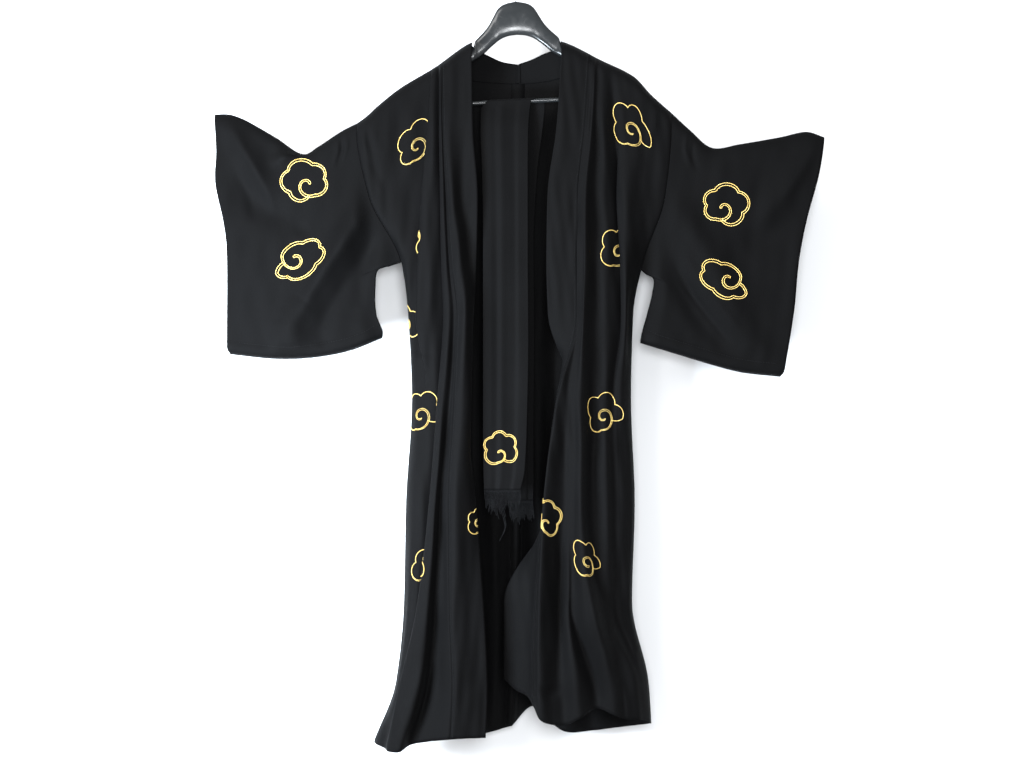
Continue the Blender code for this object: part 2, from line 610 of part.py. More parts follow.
def sash_rows():
    """Outer face of the sash: up the front tail, over the bar and down the rear tail."""
    share = np.linspace(0, 1, SASH_COLUMNS + 1)
    bump = steady(share, *zip(*SASH_FOLDS))
    rows = []
    for drop, left, right, forward in reversed(FRONT_TAIL):
        rows.append(np.stack([left + share * (right - left), -forward - bump,
                              np.full(share.shape, -drop)], axis=1))
    radius = BAR_RADIUS + SEAM_GAP + CLOTH_WALL
    for i in range(SASH_WRAP + 1):
        angle = math.pi * i / SASH_WRAP
        left = SASH_OVER_BAR[0] * (1 - i / SASH_WRAP) + REAR_TAIL[0][1] * i / SASH_WRAP
        right = SASH_OVER_BAR[1] + (REAR_TAIL[0][2] - SASH_OVER_BAR[1]) * i / SASH_WRAP
        x = left + share * (right - left)
        middle = -BAR_DROP / math.cos(HANGER_TILT) + math.tan(HANGER_TILT) * x
        rows.append(np.stack([x, np.full(share.shape, -radius * math.cos(angle)),
                              middle + radius * math.sin(angle)], axis=1))
    for drop, left, right, forward in REAR_TAIL:
        rows.append(np.stack([left + share * (right - left), -forward + bump * 0.7,
                              np.full(share.shape, -drop)], axis=1))
    return np.array(rows)


def sash():
    rows = sash_rows()
    down, across = tangents(rows, 0), tangents(rows, 1)
    normal = np.cross(across, down)
    normal /= np.linalg.norm(normal, axis=2)[:, :, None]
    wall("sash", rows, normal, SASH_CREPE)
    return rows, normal


def fringe(name, edge, normal, spec):
    """Strands drawn out of a narrow strip under a tail's end, as one body."""
    strands = spec["strands"]
    cells = 2 * strands - 1
    share = np.linspace(0, 1, cells + 1)
    run = np.linspace(0, 1, len(edge))
    line = np.stack([np.interp(share, run, edge[:, k]) for k in range(3)], axis=1)
    lean = np.stack([np.interp(share, run, normal[:, k]) for k in range(3)], axis=1)
    line[:, 2] -= SEAM_GAP
    mesh = bmesh.new()
    top = [[mesh.verts.new(p * MM) for p in (a, a - n * CLOTH_WALL)] for a, n in zip(line, lean)]
    low_line = line - np.array((0, 0, FRINGE_BACKING))
    low = [[mesh.verts.new(p * MM) for p in (a, a - n * CLOTH_WALL)] for a, n in zip(low_line, lean)]
    roots = []
    for i in range(cells):
        mesh.faces.new((top[i][0], low[i][0], low[i + 1][0], top[i + 1][0]))
        mesh.faces.new((top[i][1], top[i + 1][1], low[i + 1][1], low[i][1]))
        mesh.faces.new((top[i][0], top[i + 1][0], top[i + 1][1], top[i][1]))
        root = mesh.faces.new((low[i][0], low[i][1], low[i + 1][1], low[i + 1][0]))
        if i % 2 == 0:
            roots.append(root)
    mesh.faces.new((top[0][0], top[0][1], low[0][1], low[0][0]))
    mesh.faces.new((top[-1][0], low[-1][0], low[-1][1], top[-1][1]))
    for k, root in enumerate(roots):
        strand(mesh, root, k, spec["lengths"][k])
    bmesh.ops.triangulate(mesh, faces=mesh.faces[:])
    bmesh.ops.recalc_face_normals(mesh, faces=mesh.faces[:])
    return as_object(name, mesh, SASH_CREPE)


def sway(depth, turn):
    return STRAND_SWAY * depth * math.sin(turn + depth / SWAY_LENGTH)


def strand(mesh, root, number, total):
    """One strand: the root's face drawn down in steps, swaying and thinning."""
    face = root
    turn = SWAY_TURN * number
    for step in range(FRINGE_STEPS):
        made = bmesh.ops.extrude_discrete_faces(mesh, faces=[face])
        face = made["faces"][0]
        depth, last = total * (step + 1) / FRINGE_STEPS, total * step / FRINGE_STEPS
        move = np.array((sway(depth, turn) - sway(last, turn), 0.3 * math.cos(turn), last - depth)) * MM
        middle = face.calc_center_median()
        slim = 0.86 if step else 0.6
        for v in face.verts:
            v.co = middle + (v.co - middle) * slim
        bmesh.ops.translate(mesh, verts=face.verts[:], vec=move)


sash_points, sash_normals = sash()
fringe("sash_fringe_front", sash_points[0], sash_normals[0], FRINGE["front"])
fringe("sash_fringe_rear", sash_points[-1], sash_normals[-1], FRINGE["rear"])

# Hanger, in its own level frame: across from the middle, drop of the top, drop
# of the underside, half depth front to back
HANGER = ((0, 61, 124, 8), (12, 63, 125, 8), (24, 66.5, 128, 8), (34, 74, 133, 8), (42, 87, 139, 7.5),
          (52, 104, 147, 7.5), (62, 116, 156, 7.5), (74, 127.5, 164, 7.5), (79, 133, 167, 8), (82, 143, 169, 8),
          (88, 148, 172, 8), (104, 158, 183, 9), (150, 181.5, 208, 10.5), (182, 200.5, 228, 11.5),
          (186, 202.5, 256, 11.5), (206, 212.5, 257, 11.5), (214, 216.5, 248, 10.5), (221, 221, 241, 8),
          (225, 227, 235, 3.5))
HANGER_RING = 14
HANGER_SQUARE = 0.72      # 1 is an ellipse, less is squarer
BAR_END = 184.0           # half the bar's length, between the lugs
HOOK_WIRE = 2.0
HOOK_POINTS = 36
HOOK_ROUTE = ((0, -60.6), (0, -52), (3, -46), (10, -39), (16.5, -30), (19, -18), (16.5, -8.5), (10, -1.5),
              (0, 2), (-10, -1), (-17, -9), (-19, -19), (-16.5, -29))


def tilted(x, y, z):
    """Level hanger frame to the hung one, turned about the hook."""
    c, s = math.cos(HANGER_TILT), math.sin(HANGER_TILT)
    return np.array((x * c - z * s, y, x * s + z * c)) * MM


def hanger_body():
    """Moulded body: rounded rings from one tip to the other, closed at the tips."""
    stations = [(-row[0],) + row[1:] for row in HANGER[:0:-1]] + list(HANGER)
    mesh = bmesh.new()
    rings = []
    for x, top, under, depth in stations:
        middle, half = -(top + under) / 2, (under - top) / 2
        ring = []
        for k in range(HANGER_RING):
            angle = 2 * math.pi * k / HANGER_RING
            c, s = math.cos(angle), math.sin(angle)
            y = depth * math.copysign(abs(c) ** HANGER_SQUARE, c)
            z = middle + half * math.copysign(abs(s) ** HANGER_SQUARE, s)
            ring.append(mesh.verts.new(tilted(x, y, z)))
        rings.append(ring)
    for a, b in zip(rings, rings[1:]):
        for k in range(HANGER_RING):
            j = (k + 1) % HANGER_RING
            mesh.faces.new((a[k], a[j], b[j], b[k]))
    mesh.faces.new(rings[0])
    mesh.faces.new(rings[-1])
    bmesh.ops.triangulate(mesh, faces=mesh.faces[:])
    bmesh.ops.recalc_face_normals(mesh, faces=mesh.faces[:])
    return as_object("hanger_body", mesh, PLASTIC)


def rod(name, points, radius, material, resolution=3):
    """A round rod along a broken line, as a bevelled curve with closed ends."""
    curve = bpy.data.curves.new(name, "CURVE")
    curve.dimensions = "3D"
    curve.bevel_depth = radius * MM
    curve.bevel_resolution = resolution
    curve.use_fill_caps = True
    line = curve.splines.new("POLY")
    line.points.add(len(points) - 1)
    for spot, p in zip(line.points, points):
        spot.co = (*p, 1)
    curve.materials.append(material)
    piece = bpy.data.objects.new(name, curve)
    robe.objects.link(piece)
    return piece


hanger_body()
rod("hanger_bar", [tilted(x, 0, -BAR_DROP) for x in (-BAR_END, 0, BAR_END)], BAR_RADIUS, PLASTIC)
hook_line = along([(x, 0, z) for x, z in HOOK_ROUTE], np.linspace(0, 1, HOOK_POINTS))
rod("hanger_hook", [tilted(*p) for p in hook_line], HOOK_WIRE, STEEL, 2)
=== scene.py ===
# %% [markdown]
# # A kimono-cut robe on a hanger
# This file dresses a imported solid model. The solids give the robe's sizes and its
# main folds, and the cells below build what the eye sees: thin cloth with finer
# creases, gold cord stitched down in cloud shapes, a fringed sash, a glossy
# hanger, and a soft studio. The solids stay fixed: a finer piece takes the place
# of each soft one, in the same frame, and rides on the same body.

# %% Load the solids and measure them
import json
import math

import bpy
import bmesh
import numpy as np
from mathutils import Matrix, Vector

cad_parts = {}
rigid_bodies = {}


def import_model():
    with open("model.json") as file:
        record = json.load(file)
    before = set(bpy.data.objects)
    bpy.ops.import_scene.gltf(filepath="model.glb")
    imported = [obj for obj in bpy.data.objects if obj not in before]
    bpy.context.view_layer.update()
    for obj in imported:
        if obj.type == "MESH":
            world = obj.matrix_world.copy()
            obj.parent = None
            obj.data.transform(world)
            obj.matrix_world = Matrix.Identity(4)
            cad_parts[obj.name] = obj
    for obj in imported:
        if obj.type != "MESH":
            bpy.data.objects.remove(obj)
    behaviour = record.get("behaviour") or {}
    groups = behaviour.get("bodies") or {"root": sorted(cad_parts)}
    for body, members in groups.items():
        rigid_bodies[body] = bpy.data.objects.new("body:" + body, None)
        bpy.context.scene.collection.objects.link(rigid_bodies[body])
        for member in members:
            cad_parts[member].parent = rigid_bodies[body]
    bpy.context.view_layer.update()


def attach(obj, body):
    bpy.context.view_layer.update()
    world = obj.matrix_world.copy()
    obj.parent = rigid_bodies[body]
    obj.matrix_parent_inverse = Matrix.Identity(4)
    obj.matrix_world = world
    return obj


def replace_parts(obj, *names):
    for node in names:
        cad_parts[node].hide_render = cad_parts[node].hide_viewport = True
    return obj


for leftover in list(bpy.data.objects):
    bpy.data.objects.remove(leftover)
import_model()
MM = 0.001

# %% [markdown]
# ## The camera
# The photograph looks straight at the robe from a few metres away, with a long
# lens, so the sleeves hardly narrow towards the edges. The camera stands level
# at half the robe's height. It is made first, so that every later look at the
# work is from the right place.

# %% Camera
CAMERA_AWAY = 3.5
FRAME_WIDE = 1.925        # metres of the robe's plane that the picture takes in
FRAME_MIDDLE = (-0.0038, -0.780)

camera_data = bpy.data.cameras.new("camera")
camera_data.sensor_width = 36
camera_data.lens = 36 * CAMERA_AWAY / FRAME_WIDE
camera = bpy.data.objects.new("camera", camera_data)
camera.location = (FRAME_MIDDLE[0], -CAMERA_AWAY, FRAME_MIDDLE[1])
camera.rotation_euler = (math.pi / 2, 0, 0)
bpy.context.scene.collection.objects.link(camera)
bpy.context.scene.camera = camera
print("lens", round(camera_data.lens, 1), "mm")

# %% [markdown]
# ## The folds of the robe
# A hung robe falls in long folds. Each row below is one fold line of the cloth,
# from the free front edge round to the side seam, and gives its place across and
# how far it stands forward at ten heights. The solids were cut from the same
# folds, so the fine cloth lies where they are. The right front's edge turns
# under itself, so its rows come in the order of the cloth, not of the view.

# %% Fold tables, in millimetres
DROPS = (170, 300, 430, 550, 650, 810, 1000, 1190, 1340, 1450)

# name, across at each drop, forward at each drop, drop of the hem, columns to the next fold
LEFT_FRONT = (
    ("inner edge", (-79, -77, -68, -70, -75, -88, -71, -56, -49, -53),
     (30, 36, 38, 31, 20, 24, 36, 52, 60, 66), 1433, 2),
    ("inner valley", (-100, -103, -96, -83, -77, -79, -84, -82, -76, -78),
     (30, 34, 33, 36, 38, 45, 52, 60, 66, 70), 1433, 2),
    ("front ridge", (-120, -120, -114, -100, -90, -94, -107, -108, -104, -104),
     (32, 40, 48, 54, 58, 62, 66, 71, 76, 78), 1433, 2),
    ("band seam", (-134, -131, -124, -117, -106, -112, -122, -120, -114, -118),
     (31, 38, 43, 48, 50, 54, 58, 66, 74, 77), 1434, 2),
    ("skirt valley", (-136, -133, -127, -121, -112, -120, -137, -145, -158, -190),
     (31, 37, 40, 44, 46, 48, 46, 44, 46, 52), 1448, 2),
    ("skirt ridge", (-138, -136, -132, -127, -121, -132, -146, -160, -175, -211),
     (31, 39, 44, 48, 52, 57, 62, 66, 70, 72), 1458, 2),
    ("main fold edge", (-140, -140, -138, -136, -132, -143, -158, -180, -213, -235),
     (29, 33, 36, 39, 42, 46, 50, 55, 56, 54), 1460, 3),
    ("under main fold", (-143, -131, -125, -120, -117, -119, -139, -166, -207, -238),
     (27, 21, 19, 21, 23, 26, 31, 38, 44, 44), 1458, 2),
    ("between folds", (-147, -150, -153, -156, -156, -145, -167, -182, -211, -243),
     (28, 34, 37, 38, 37, 34, 38, 41, 38, 34), 1457, 2),
    ("side fold edge", (-152, -162, -173, -180, -184, -158, -180, -192, -215, -248),
     (27, 29, 29, 30, 30, 31, 33, 34, 32, 28), 1456, 3),
    ("under side fold", (-158, -140, -143, -150, -158, -170, -189, -198, -218, -253),
     (24, 17, 14, 14, 16, 25, 27, 27, 25, 22), 1455, 4),
    ("side turn", (-262, -262, -240, -204, -193, -184, -197, -202, -219, -259),
     (20, 22, 20, 15, 14, 15, 16, 16, 15, 13), 1454, 2),
    ("side seam", (-295, -295, -271, -212, -199, -192, -203, -207, -222, -263),
     (14, 14, 14, 2, 0.15, 0.15, 0.15, 0.15, 0.15, 0.15), 1453, 0),
)

RIGHT_FRONT = (
    ("inner edge", (88, 79, 62, 60, 63, 112, 84, -19, -19, 8),
     (31, 37, 37, 36, 32, 16, 6, 4, 8, 14), 1333, 2),
    ("inner ridge", (104, 96, 80, 78, 82, 95, 67, 3, 3, 22),
     (31, 37, 38, 39, 38, 24, 18, 15, 20, 24), 1352, 2),
    ("under turn", (122, 114, 98, 96, 98, 80, 57, 28, 24, 38),
     (31, 37, 40, 41, 40, 36, 34, 32, 34, 38), 1362, 2),
    ("band seam", (140, 131, 118, 116, 116, 78, 54, 40, 34, 46),
     (30, 37, 41, 43, 44, 50, 54, 50, 48, 50), 1380, 2),
    ("leading ridge", (142, 134, 121, 119, 119, 81, 56, 47, 46, 55),
     (30, 38, 42, 44, 46, 58, 66, 74, 74, 68), 1401, 2),
    ("leading valley", (145, 136, 124, 122, 121, 96, 90, 84, 88, 92),
     (30, 38, 44, 46, 48, 51, 46, 42, 50, 56), 1412, 2),
    ("hem flare", (147, 139, 127, 125, 123, 104, 102, 100, 118, 122),
     (30, 39, 46, 48, 50, 52, 50, 50, 68, 68), 1398, 2),
    ("flare valley", (150, 142, 130, 128, 126, 112, 111, 108, 150, 160),
     (30, 39, 48, 50, 53, 55, 55, 48, 46, 50), 1382, 2),
    ("main ridge", (152, 145, 134, 132, 129, 124, 124, 141, 180, 188),
     (29, 40, 49, 53, 56, 61, 66, 72, 64, 58), 1392, 2),
    ("main valley", (156, 153, 153, 154, 152, 148, 146, 164, 203, 214),
     (27, 31, 31, 32, 32, 32, 35, 48, 50, 46), 1402, 2),
    ("shoulder ridge", (164, 166, 170, 174, 172, 170, 172, 178, 224, 236),
     (27, 34, 35, 36, 36, 38, 42, 46, 44, 38), 1404, 3),
    ("under side fold", (182, 188, 203, 212, 205, 184, 187, 190, 236, 244),
     (25, 21, 13, 12, 17, 27, 31, 32, 32, 28), 1407, 3),
    ("side fold edge", (194, 196, 191, 197, 199, 192, 196, 200, 241, 249),
     (24, 25, 29, 31, 29, 28, 29, 28, 26, 22), 1409, 2),
    ("side crest", (210, 210, 204, 208, 208, 200, 206, 207, 245, 253),
     (23, 28, 40, 42, 37, 27, 26, 24, 20, 16), 1411, 2),
    ("side turn", (262, 262, 250, 230, 215, 213, 221, 217, 249, 256),
     (20, 22, 21, 17, 15, 15, 16, 15, 13, 11), 1414, 2),
    ("side seam", (295, 295, 283, 243, 224, 220, 227, 222, 253, 260),
     (14, 14, 14, 2.5, 0.15, 0.15, 0.15, 0.15, 0.15, 0.15), 1418, 0),
)

# name, across, backward, drop of the hem, from the left side seam to the right one
BACK = (
    ("left side seam", (-295, -295, -271, -212, -199, -192, -203, -207, -222, -263),
     (14, 14, 14, 2, 0.15, 0.15, 0.15, 0.15, 0.15, 0.15), 1453),
    ("left turn", (-262, -262, -238, -200, -190, -184, -195, -199, -214, -252),
     (20, 22, 20, 14, 13, 14, 15, 16, 18, 18), 1452),
    ("left valley", (-205, -205, -192, -166, -156, -150, -156, -160, -172, -200),
     (25, 28, 27, 24, 23, 23, 23, 24, 28, 32), 1450),
    ("left ridge", (-150, -150, -145, -130, -126, -120, -122, -124, -130, -146),
     (27, 34, 40, 46, 48, 50, 54, 60, 68, 76), 1452),
    ("left inner valley", (-98, -95, -90, -84, -80, -76, -76, -76, -78, -86),
     (36, 40, 40, 38, 37, 36, 35, 36, 38, 42), 1450),
    ("left inner ridge", (-48, -47, -46, -44, -42, -40, -38, -36, -36, -40),
     (44, 47, 51, 55, 58, 60, 64, 70, 74, 72), 1446),
    ("centre seam", (8, 8, 8, 8, 8, 8, 6, 2, -2, -6),
     (46, 47, 47, 46, 46, 44, 44, 48, 56, 62), 1434),
    ("right inner ridge", (58, 56, 54, 52, 50, 48, 46, 42, 38, 34),
     (44, 47, 51, 55, 58, 62, 70, 84, 98, 108), 1403),
    ("right inner valley", (106, 103, 98, 93, 90, 88, 88, 88, 92, 96),
     (36, 40, 39, 37, 36, 34, 33, 32, 34, 38), 1440),
    ("right ridge", (155, 156, 151, 144, 138, 134, 136, 136, 146, 152),
     (27, 34, 40, 46, 48, 50, 53, 56, 58, 60), 1442),
    ("right valley", (208, 210, 204, 186, 174, 168, 171, 170, 194, 200),
     (25, 28, 27, 24, 23, 23, 23, 24, 26, 28), 1430),
    ("right turn", (262, 262, 252, 229, 213, 211, 218, 214, 244, 250),
     (20, 22, 20, 16, 13, 14, 15, 15, 16, 16), 1422),
    ("right side seam", (295, 295, 283, 243, 224, 220, 227, 222, 253, 260),
     (14, 14, 14, 2.5, 0.15, 0.15, 0.15, 0.15, 0.15, 0.15), 1418),
)

LEFT_SHOULDER = ((-60, 132), (-81, 139), (-147, 184), (-214, 224), (-252, 254), (-282, 281), (-300, 293))
RIGHT_SHOULDER = ((60, 130), (91, 137), (162, 171), (226, 203), (256, 235), (280, 257), (300, 274))
NECK_SEAM = ((-147, 184), (-130, 190), (-100, 198), (-60, 203), (8, 206), (60, 202), (104, 191),
             (130, 177), (156, 168))
NECK_TURN = 46.0
UNDERARM = {"left": 551.0, "right": 566.0}
print("fold lines", len(LEFT_FRONT), len(RIGHT_FRONT), len(BACK))

# %% [markdown]
# ## Smooth lines through few points
# A fold line is soft, so the heights between two rows of a table are filled with
# a cubic that never swings past its values, and a section across the cloth is a
# curve whose bends stay close to its points. Both are short functions. A spline
# object could do this too, but the points are needed as numbers, to place cord
# and stitches on the cloth later.

# %% Smooth lines
SAMPLES = 24


def steady(at, places, values):
    """Cubic line through a table that never swings past its values."""
    at, x, y = np.asarray(at, float), np.asarray(places, float), np.asarray(values, float)
    step = np.diff(x)
    slope = np.diff(y) / step
    m = np.empty_like(y)
    m[0], m[-1] = slope[0], slope[-1]
    same = slope[1:] * slope[:-1] > 0
    pair = slope[1:] + slope[:-1]
    m[1:-1] = np.where(same, 2 * slope[1:] * slope[:-1] / np.where(same, pair, 1), 0)
    i = np.clip(np.searchsorted(x, at) - 1, 0, len(step) - 1)
    t = np.clip((at - x[i]) / step[i], 0, 1)
    return ((2 * t ** 3 - 3 * t ** 2 + 1) * y[i] + (t ** 3 - 2 * t ** 2 + t) * step[i] * m[i]
            + (3 * t ** 2 - 2 * t ** 3) * y[i + 1] + (t ** 3 - t ** 2) * step[i] * m[i + 1])


def through(points, samples=SAMPLES):
    """Smooth open line through points, with a set number of samples a span."""
    p = np.asarray(points, float)
    p = np.vstack([2 * p[0] - p[1], p, 2 * p[-1] - p[-2]])
    h = np.sqrt(np.linalg.norm(np.diff(p, axis=0), axis=1)) + 1e-6
    line = []
    for i in range(1, len(p) - 2):
        a, b, c = h[i - 1], h[i], h[i + 1]
        before, here, after = (p[i] - p[i - 1]) / a, (p[i + 1] - p[i]) / b, (p[i + 2] - p[i + 1]) / c
        start = (before * b + here * a) / (a + b) * b
        end = (here * c + after * b) / (b + c) * b
        t = np.arange(samples)[:, None] / samples
        line.append((2 * t ** 3 - 3 * t ** 2 + 1) * p[i] + (t ** 3 - 2 * t ** 2 + t) * start
                    + (3 * t ** 2 - 2 * t ** 3) * p[i + 1] + (t ** 3 - t ** 2) * end)
    return np.vstack(line + [p[-2][None]])


def along(points, share):
    """A smooth line's points at shares of its length."""
    line = through(points)
    run = np.concatenate([[0], np.cumsum(np.linalg.norm(np.diff(line, axis=0), axis=1))])
    at = np.asarray(share) * run[-1]
    return np.stack([np.interp(at, run, line[:, k]) for k in range(line.shape[1])], axis=-1)


def at_index(line, index):
    """A point of a line between two of its samples."""
    places = np.arange(len(line))
    return np.stack([np.interp(index, places, line[:, k]) for k in range(line.shape[1])], axis=-1)


def round_off(share):
    """Quarter circle, from 0 at the edge to 1 where the cloth hangs."""
    t = np.clip(share, 0, 1)
    return np.sqrt(t * (2 - t))


def directions(points, axis, ring=False):
    """Directions along a grid, halfway between the steps before and after a point."""
    steps = np.roll(points, -1, axis=axis) - points if ring else np.diff(points, axis=axis)
    steps = steps / (np.linalg.norm(steps, axis=2)[:, :, None] + 1e-9)
    if ring:
        return steps + np.roll(steps, 1, axis=axis)
    first, last = np.take(steps, [0], axis=axis), np.take(steps, [-1], axis=axis)
    return np.concatenate([first, steps], axis=axis) + np.concatenate([steps, last], axis=axis)


print("forward of the main fold at 700 mm:", round(float(steady(700, DROPS, LEFT_FRONT[6][2])), 1))

# %% [markdown]
# ## One half of the body as a grid
# A real front is one panel from the shoulder to the hem. Here a half of the body
# is a grid of points: columns run down the cloth, each tied to a place between
# two folds, and rows run across. Tying the columns to the folds keeps a column on
# its fold all the way down, so no ridge is ever cut across by the mesh. The same
# grid is then split into collar band, front and back, so the seams match.

# %% Body grid
FINE = 4                  # columns for each column of the solids
SEAM_GAP = 0.12
SHOULDER_ROUND = 26.0
ROWS_ROUND = (0.0, 0.5, 1.2, 2.5, 4.5, 7.0, 10.0, 14.0, 19.0, 26.0)
ROWS_ARMHOLE = 40
ROWS_SKIRT = 118
LEVELS = np.arange(130.0, 1480.0, 10.0)
TOP_GUESS, TOP_ROUNDS = 250.0, 30    # first guess of a column's upper end, and rounds to settle it
HEM_READ_AT = 1400.0      # height at which a column's hem is read


class HalfBody:
    """The cloth of one half of the body, as points on columns and rows."""

    def __init__(self, table, side):
        self.side = side
        self.shoulder = LEFT_SHOULDER[::-1] if side == "left" else RIGHT_SHOULDER
        self.names = [row[0] for row in table]
        seam, end = self.names.index("band seam"), len(table) - 1
        centre = [row[0] for row in BACK].index("centre seam")
        half = BACK[:centre + 1] if side == "left" else BACK[:centre - 1:-1]
        counts = [FINE * row[4] for row in table[:-1]]
        parts = (("band", 0, seam, counts[:seam], (-1,)), ("front", seam, end, counts[seam:], (0,)),
                 ("back", end + 1, end + len(half), [2 * FINE] * (len(half) - 1), (-1,)))
        self.columns, index, place = {}, [], 0
        for name, first, last, count, trims in parts:
            steps = [span + (i + 1) / n for span, n in zip(range(first, last), count) for i in range(n)]
            at = [first] + steps
            self.columns[name] = (place, place + len(at) - 1)
            place += len(at)
            index.append((np.array(at, float), trims))
        self.folds = np.concatenate([at for at, _ in index])
        self.grid = np.array([self.section(table, half, drop, index) for drop in LEVELS])
        self.tops = [self.top_of(c) for c in range(len(self.folds))]

    def section(self, table, half, drop, index):
        """Points across the cloth at one height, with half a seam's gap at the seams."""
        rows = [(steady(drop, DROPS, r[1]), way * steady(drop, DROPS, r[2]), r[3])
                for part, way in ((table, -1), (half, 1)) for r in part]
        line = through(rows)
        points = []
        for at, trims in index:
            place = at * SAMPLES
            for end in trims:
                way = 1 if end == 0 else -1
                speed = np.linalg.norm((at_index(line, place[end] + way) - at_index(line, place[end]))[:2])
                place[end] += way * SEAM_GAP / 2 / max(speed, 0.01)
            points.append(at_index(line, place))
        return np.vstack(points)

    def at(self, column, drop):
        return np.stack([np.interp(drop, LEVELS, self.grid[:, column, k]) for k in range(3)], axis=-1)

    def top_of(self, column):
        """Drop of a column's upper end, on the shoulder line or the neck seam."""
        drop, behind = TOP_GUESS, column >= self.columns["back"][0]
        for _ in range(TOP_ROUNDS):
            drop = 0.5 * (drop + self.line_drop(float(self.at(column, drop)[0]), behind))
        return drop

    def line_drop(self, x, behind):
        if behind and NECK_SEAM[0][0] < x < NECK_SEAM[-1][0]:
            return float(steady(x, *zip(*NECK_SEAM)))
        return float(steady(x, *zip(*self.shoulder)))

    def neck_share(self, x):
        edge = -NECK_SEAM[0][0] if self.side == "left" else NECK_SEAM[-1][0]
        return round_off((edge - abs(x)) / NECK_TURN)

    def column_points(self, column):
        top, arm = self.tops[column], UNDERARM[self.side]
        low = float(self.at(column, HEM_READ_AT)[2])
        first = top + np.array(ROWS_ROUND)
        drops = np.concatenate([first, np.linspace(first[-1], arm, ROWS_ARMHOLE + 1)[1:],
                                np.linspace(arm, low, ROWS_SKIRT + 1)[1:]])
        points = self.at(column, drops)
        share = round_off((drops - drops[0]) / SHOULDER_ROUND)
        if column >= self.columns["back"][0]:
            share = np.maximum(share, self.neck_share(points[0, 0]))
        y = points[:, 1] * share
        y[0] += math.copysign(SEAM_GAP / 2, points[0, 1])
        return np.stack([points[:, 0], y, -drops], axis=1)

    def surface(self):
        return np.stack([self.column_points(c) for c in range(len(self.folds))])


halves = {"left": HalfBody(LEFT_FRONT, "left"), "right": HalfBody(RIGHT_FRONT, "right")}
body = {side: half.surface() for side, half in halves.items()}
ARM_ROWS = len(ROWS_ROUND) + ROWS_ARMHOLE
print("body grids", {side: points.shape[:2] for side, points in body.items()})

# %% [markdown]
# ## Creases that the solids are too coarse for
# Crepe is soft and heavy: it pulls from the shoulders, buckles a little where
# the sleeve is sewn in, and breaks into small waves near the hem. Each crease
# is a line on the cloth with a height and a half width, all of them different,
# placed on the front and on the hidden back alike. A faint uneven
# swell lies under them, made of a few long waves with a fixed seed. Sculpting
# would be freer, but lines with names can be moved one at a time.

# %% Creases
# name, height, half width, first and last fold it shows on, (across, drop) along it
FRONT_CREASES = {
    "left": (
        ("pull under the band", -4.0, 9, 0, 3, ((-108, 393), (-92, 480), (-78, 590), (-66, 679))),
        ("band ridge", 3.0, 8, 0, 3, ((-122, 345), (-101, 528), (-90, 641), (-93, 800))),
        ("waist crease", -2.6, 4, 8, 12, ((-192, 716), (-170, 722), (-143, 724))),
        ("waist ridge", 2.0, 5, 8, 12, ((-192, 728), (-165, 735), (-146, 733))),
        ("armhole gather one", 2.8, 4, 9, 12, ((-286, 296), (-280, 330), (-262, 372))),
        ("armhole gather two", 2.2, 4, 9, 12, ((-270, 284), (-262, 318), (-250, 350))),
        ("armhole hollow", -2.6, 6, 9, 12, ((-276, 300), (-268, 352), (-240, 420))),
        ("underarm pull", 3.0, 7, 9, 12, ((-262, 500), (-236, 540), (-210, 610))),
        ("shoulder pull", 2.2, 12, 8, 12, ((-180, 222), (-190, 300), (-196, 420))),
        ("shoulder hollow", -2.2, 10, 8, 12, ((-212, 250), (-222, 340), (-226, 430))),
        ("knee wave", 3.2, 10, 3, 6, ((-150, 1020), (-138, 1110), (-150, 1230))),
        ("hem lens", 6.5, 11, 4, 7, ((-162, 1290), (-188, 1370), (-207, 1440))),
        ("hem dip", -7.0, 9, 3, 7, ((-150, 1290), (-168, 1360), (-186, 1440))),
        ("hem wave", 2.6, 12, 0, 4, ((-70, 1330), (-84, 1385), (-80, 1430))),
        ("skirt softness", 2.4, 14, 6, 12, ((-196, 900), (-178, 1010), (-190, 1120))),
    ),
    "right": (
        ("shoulder pull", 2.4, 8, 8, 12, ((160, 205), (166, 300), (176, 420))),
        ("sleeve dart", -3.2, 7, 10, 15, ((190, 395), (196, 450), (199, 520))),
        ("armhole gather", 2.4, 4, 11, 15, ((268, 258), (262, 300), (246, 350))),
        ("armhole hollow", -2.6, 7, 11, 15, ((246, 262), (244, 330), (232, 430))),
        ("underarm pull", 3.4, 8, 11, 15, ((284, 520), (258, 560), (232, 620))),
        ("skirt diagonal", -8.0, 10, 5, 9, ((104, 1180), (120, 1258), (140, 1318), (160, 1372))),
        ("lit corner", 6.0, 14, 5, 9, ((112, 1200), (100, 1280), (92, 1360))),
        ("hem crescent", -6.0, 9, 3, 6, ((44, 1340), (62, 1354), (86, 1342))),
        ("valley by the leading ridge", -5.0, 8, 4, 7, ((88, 1000), (86, 1120), (84, 1240), (88, 1330))),
        ("fan ridge", 6.0, 15, 8, 12, ((136, 1140), (160, 1220), (196, 1300))),
        ("fan edge", -7.0, 10, 9, 13, ((166, 1130), (186, 1220), (220, 1286))),
        ("thigh softness", 2.6, 14, 7, 12, ((176, 820), (170, 930), (176, 1040))),
        ("band softness", 2.0, 12, 0, 3, ((96, 240), (84, 360), (80, 500), (84, 620))),
        ("side wave", 2.6, 10, 11, 15, ((214, 1150), (222, 1240), (246, 1330))),
        ("hem wave", 2.8, 9, 9, 14, ((204, 1340), (210, 1370), (214, 1405))),
    ),
}
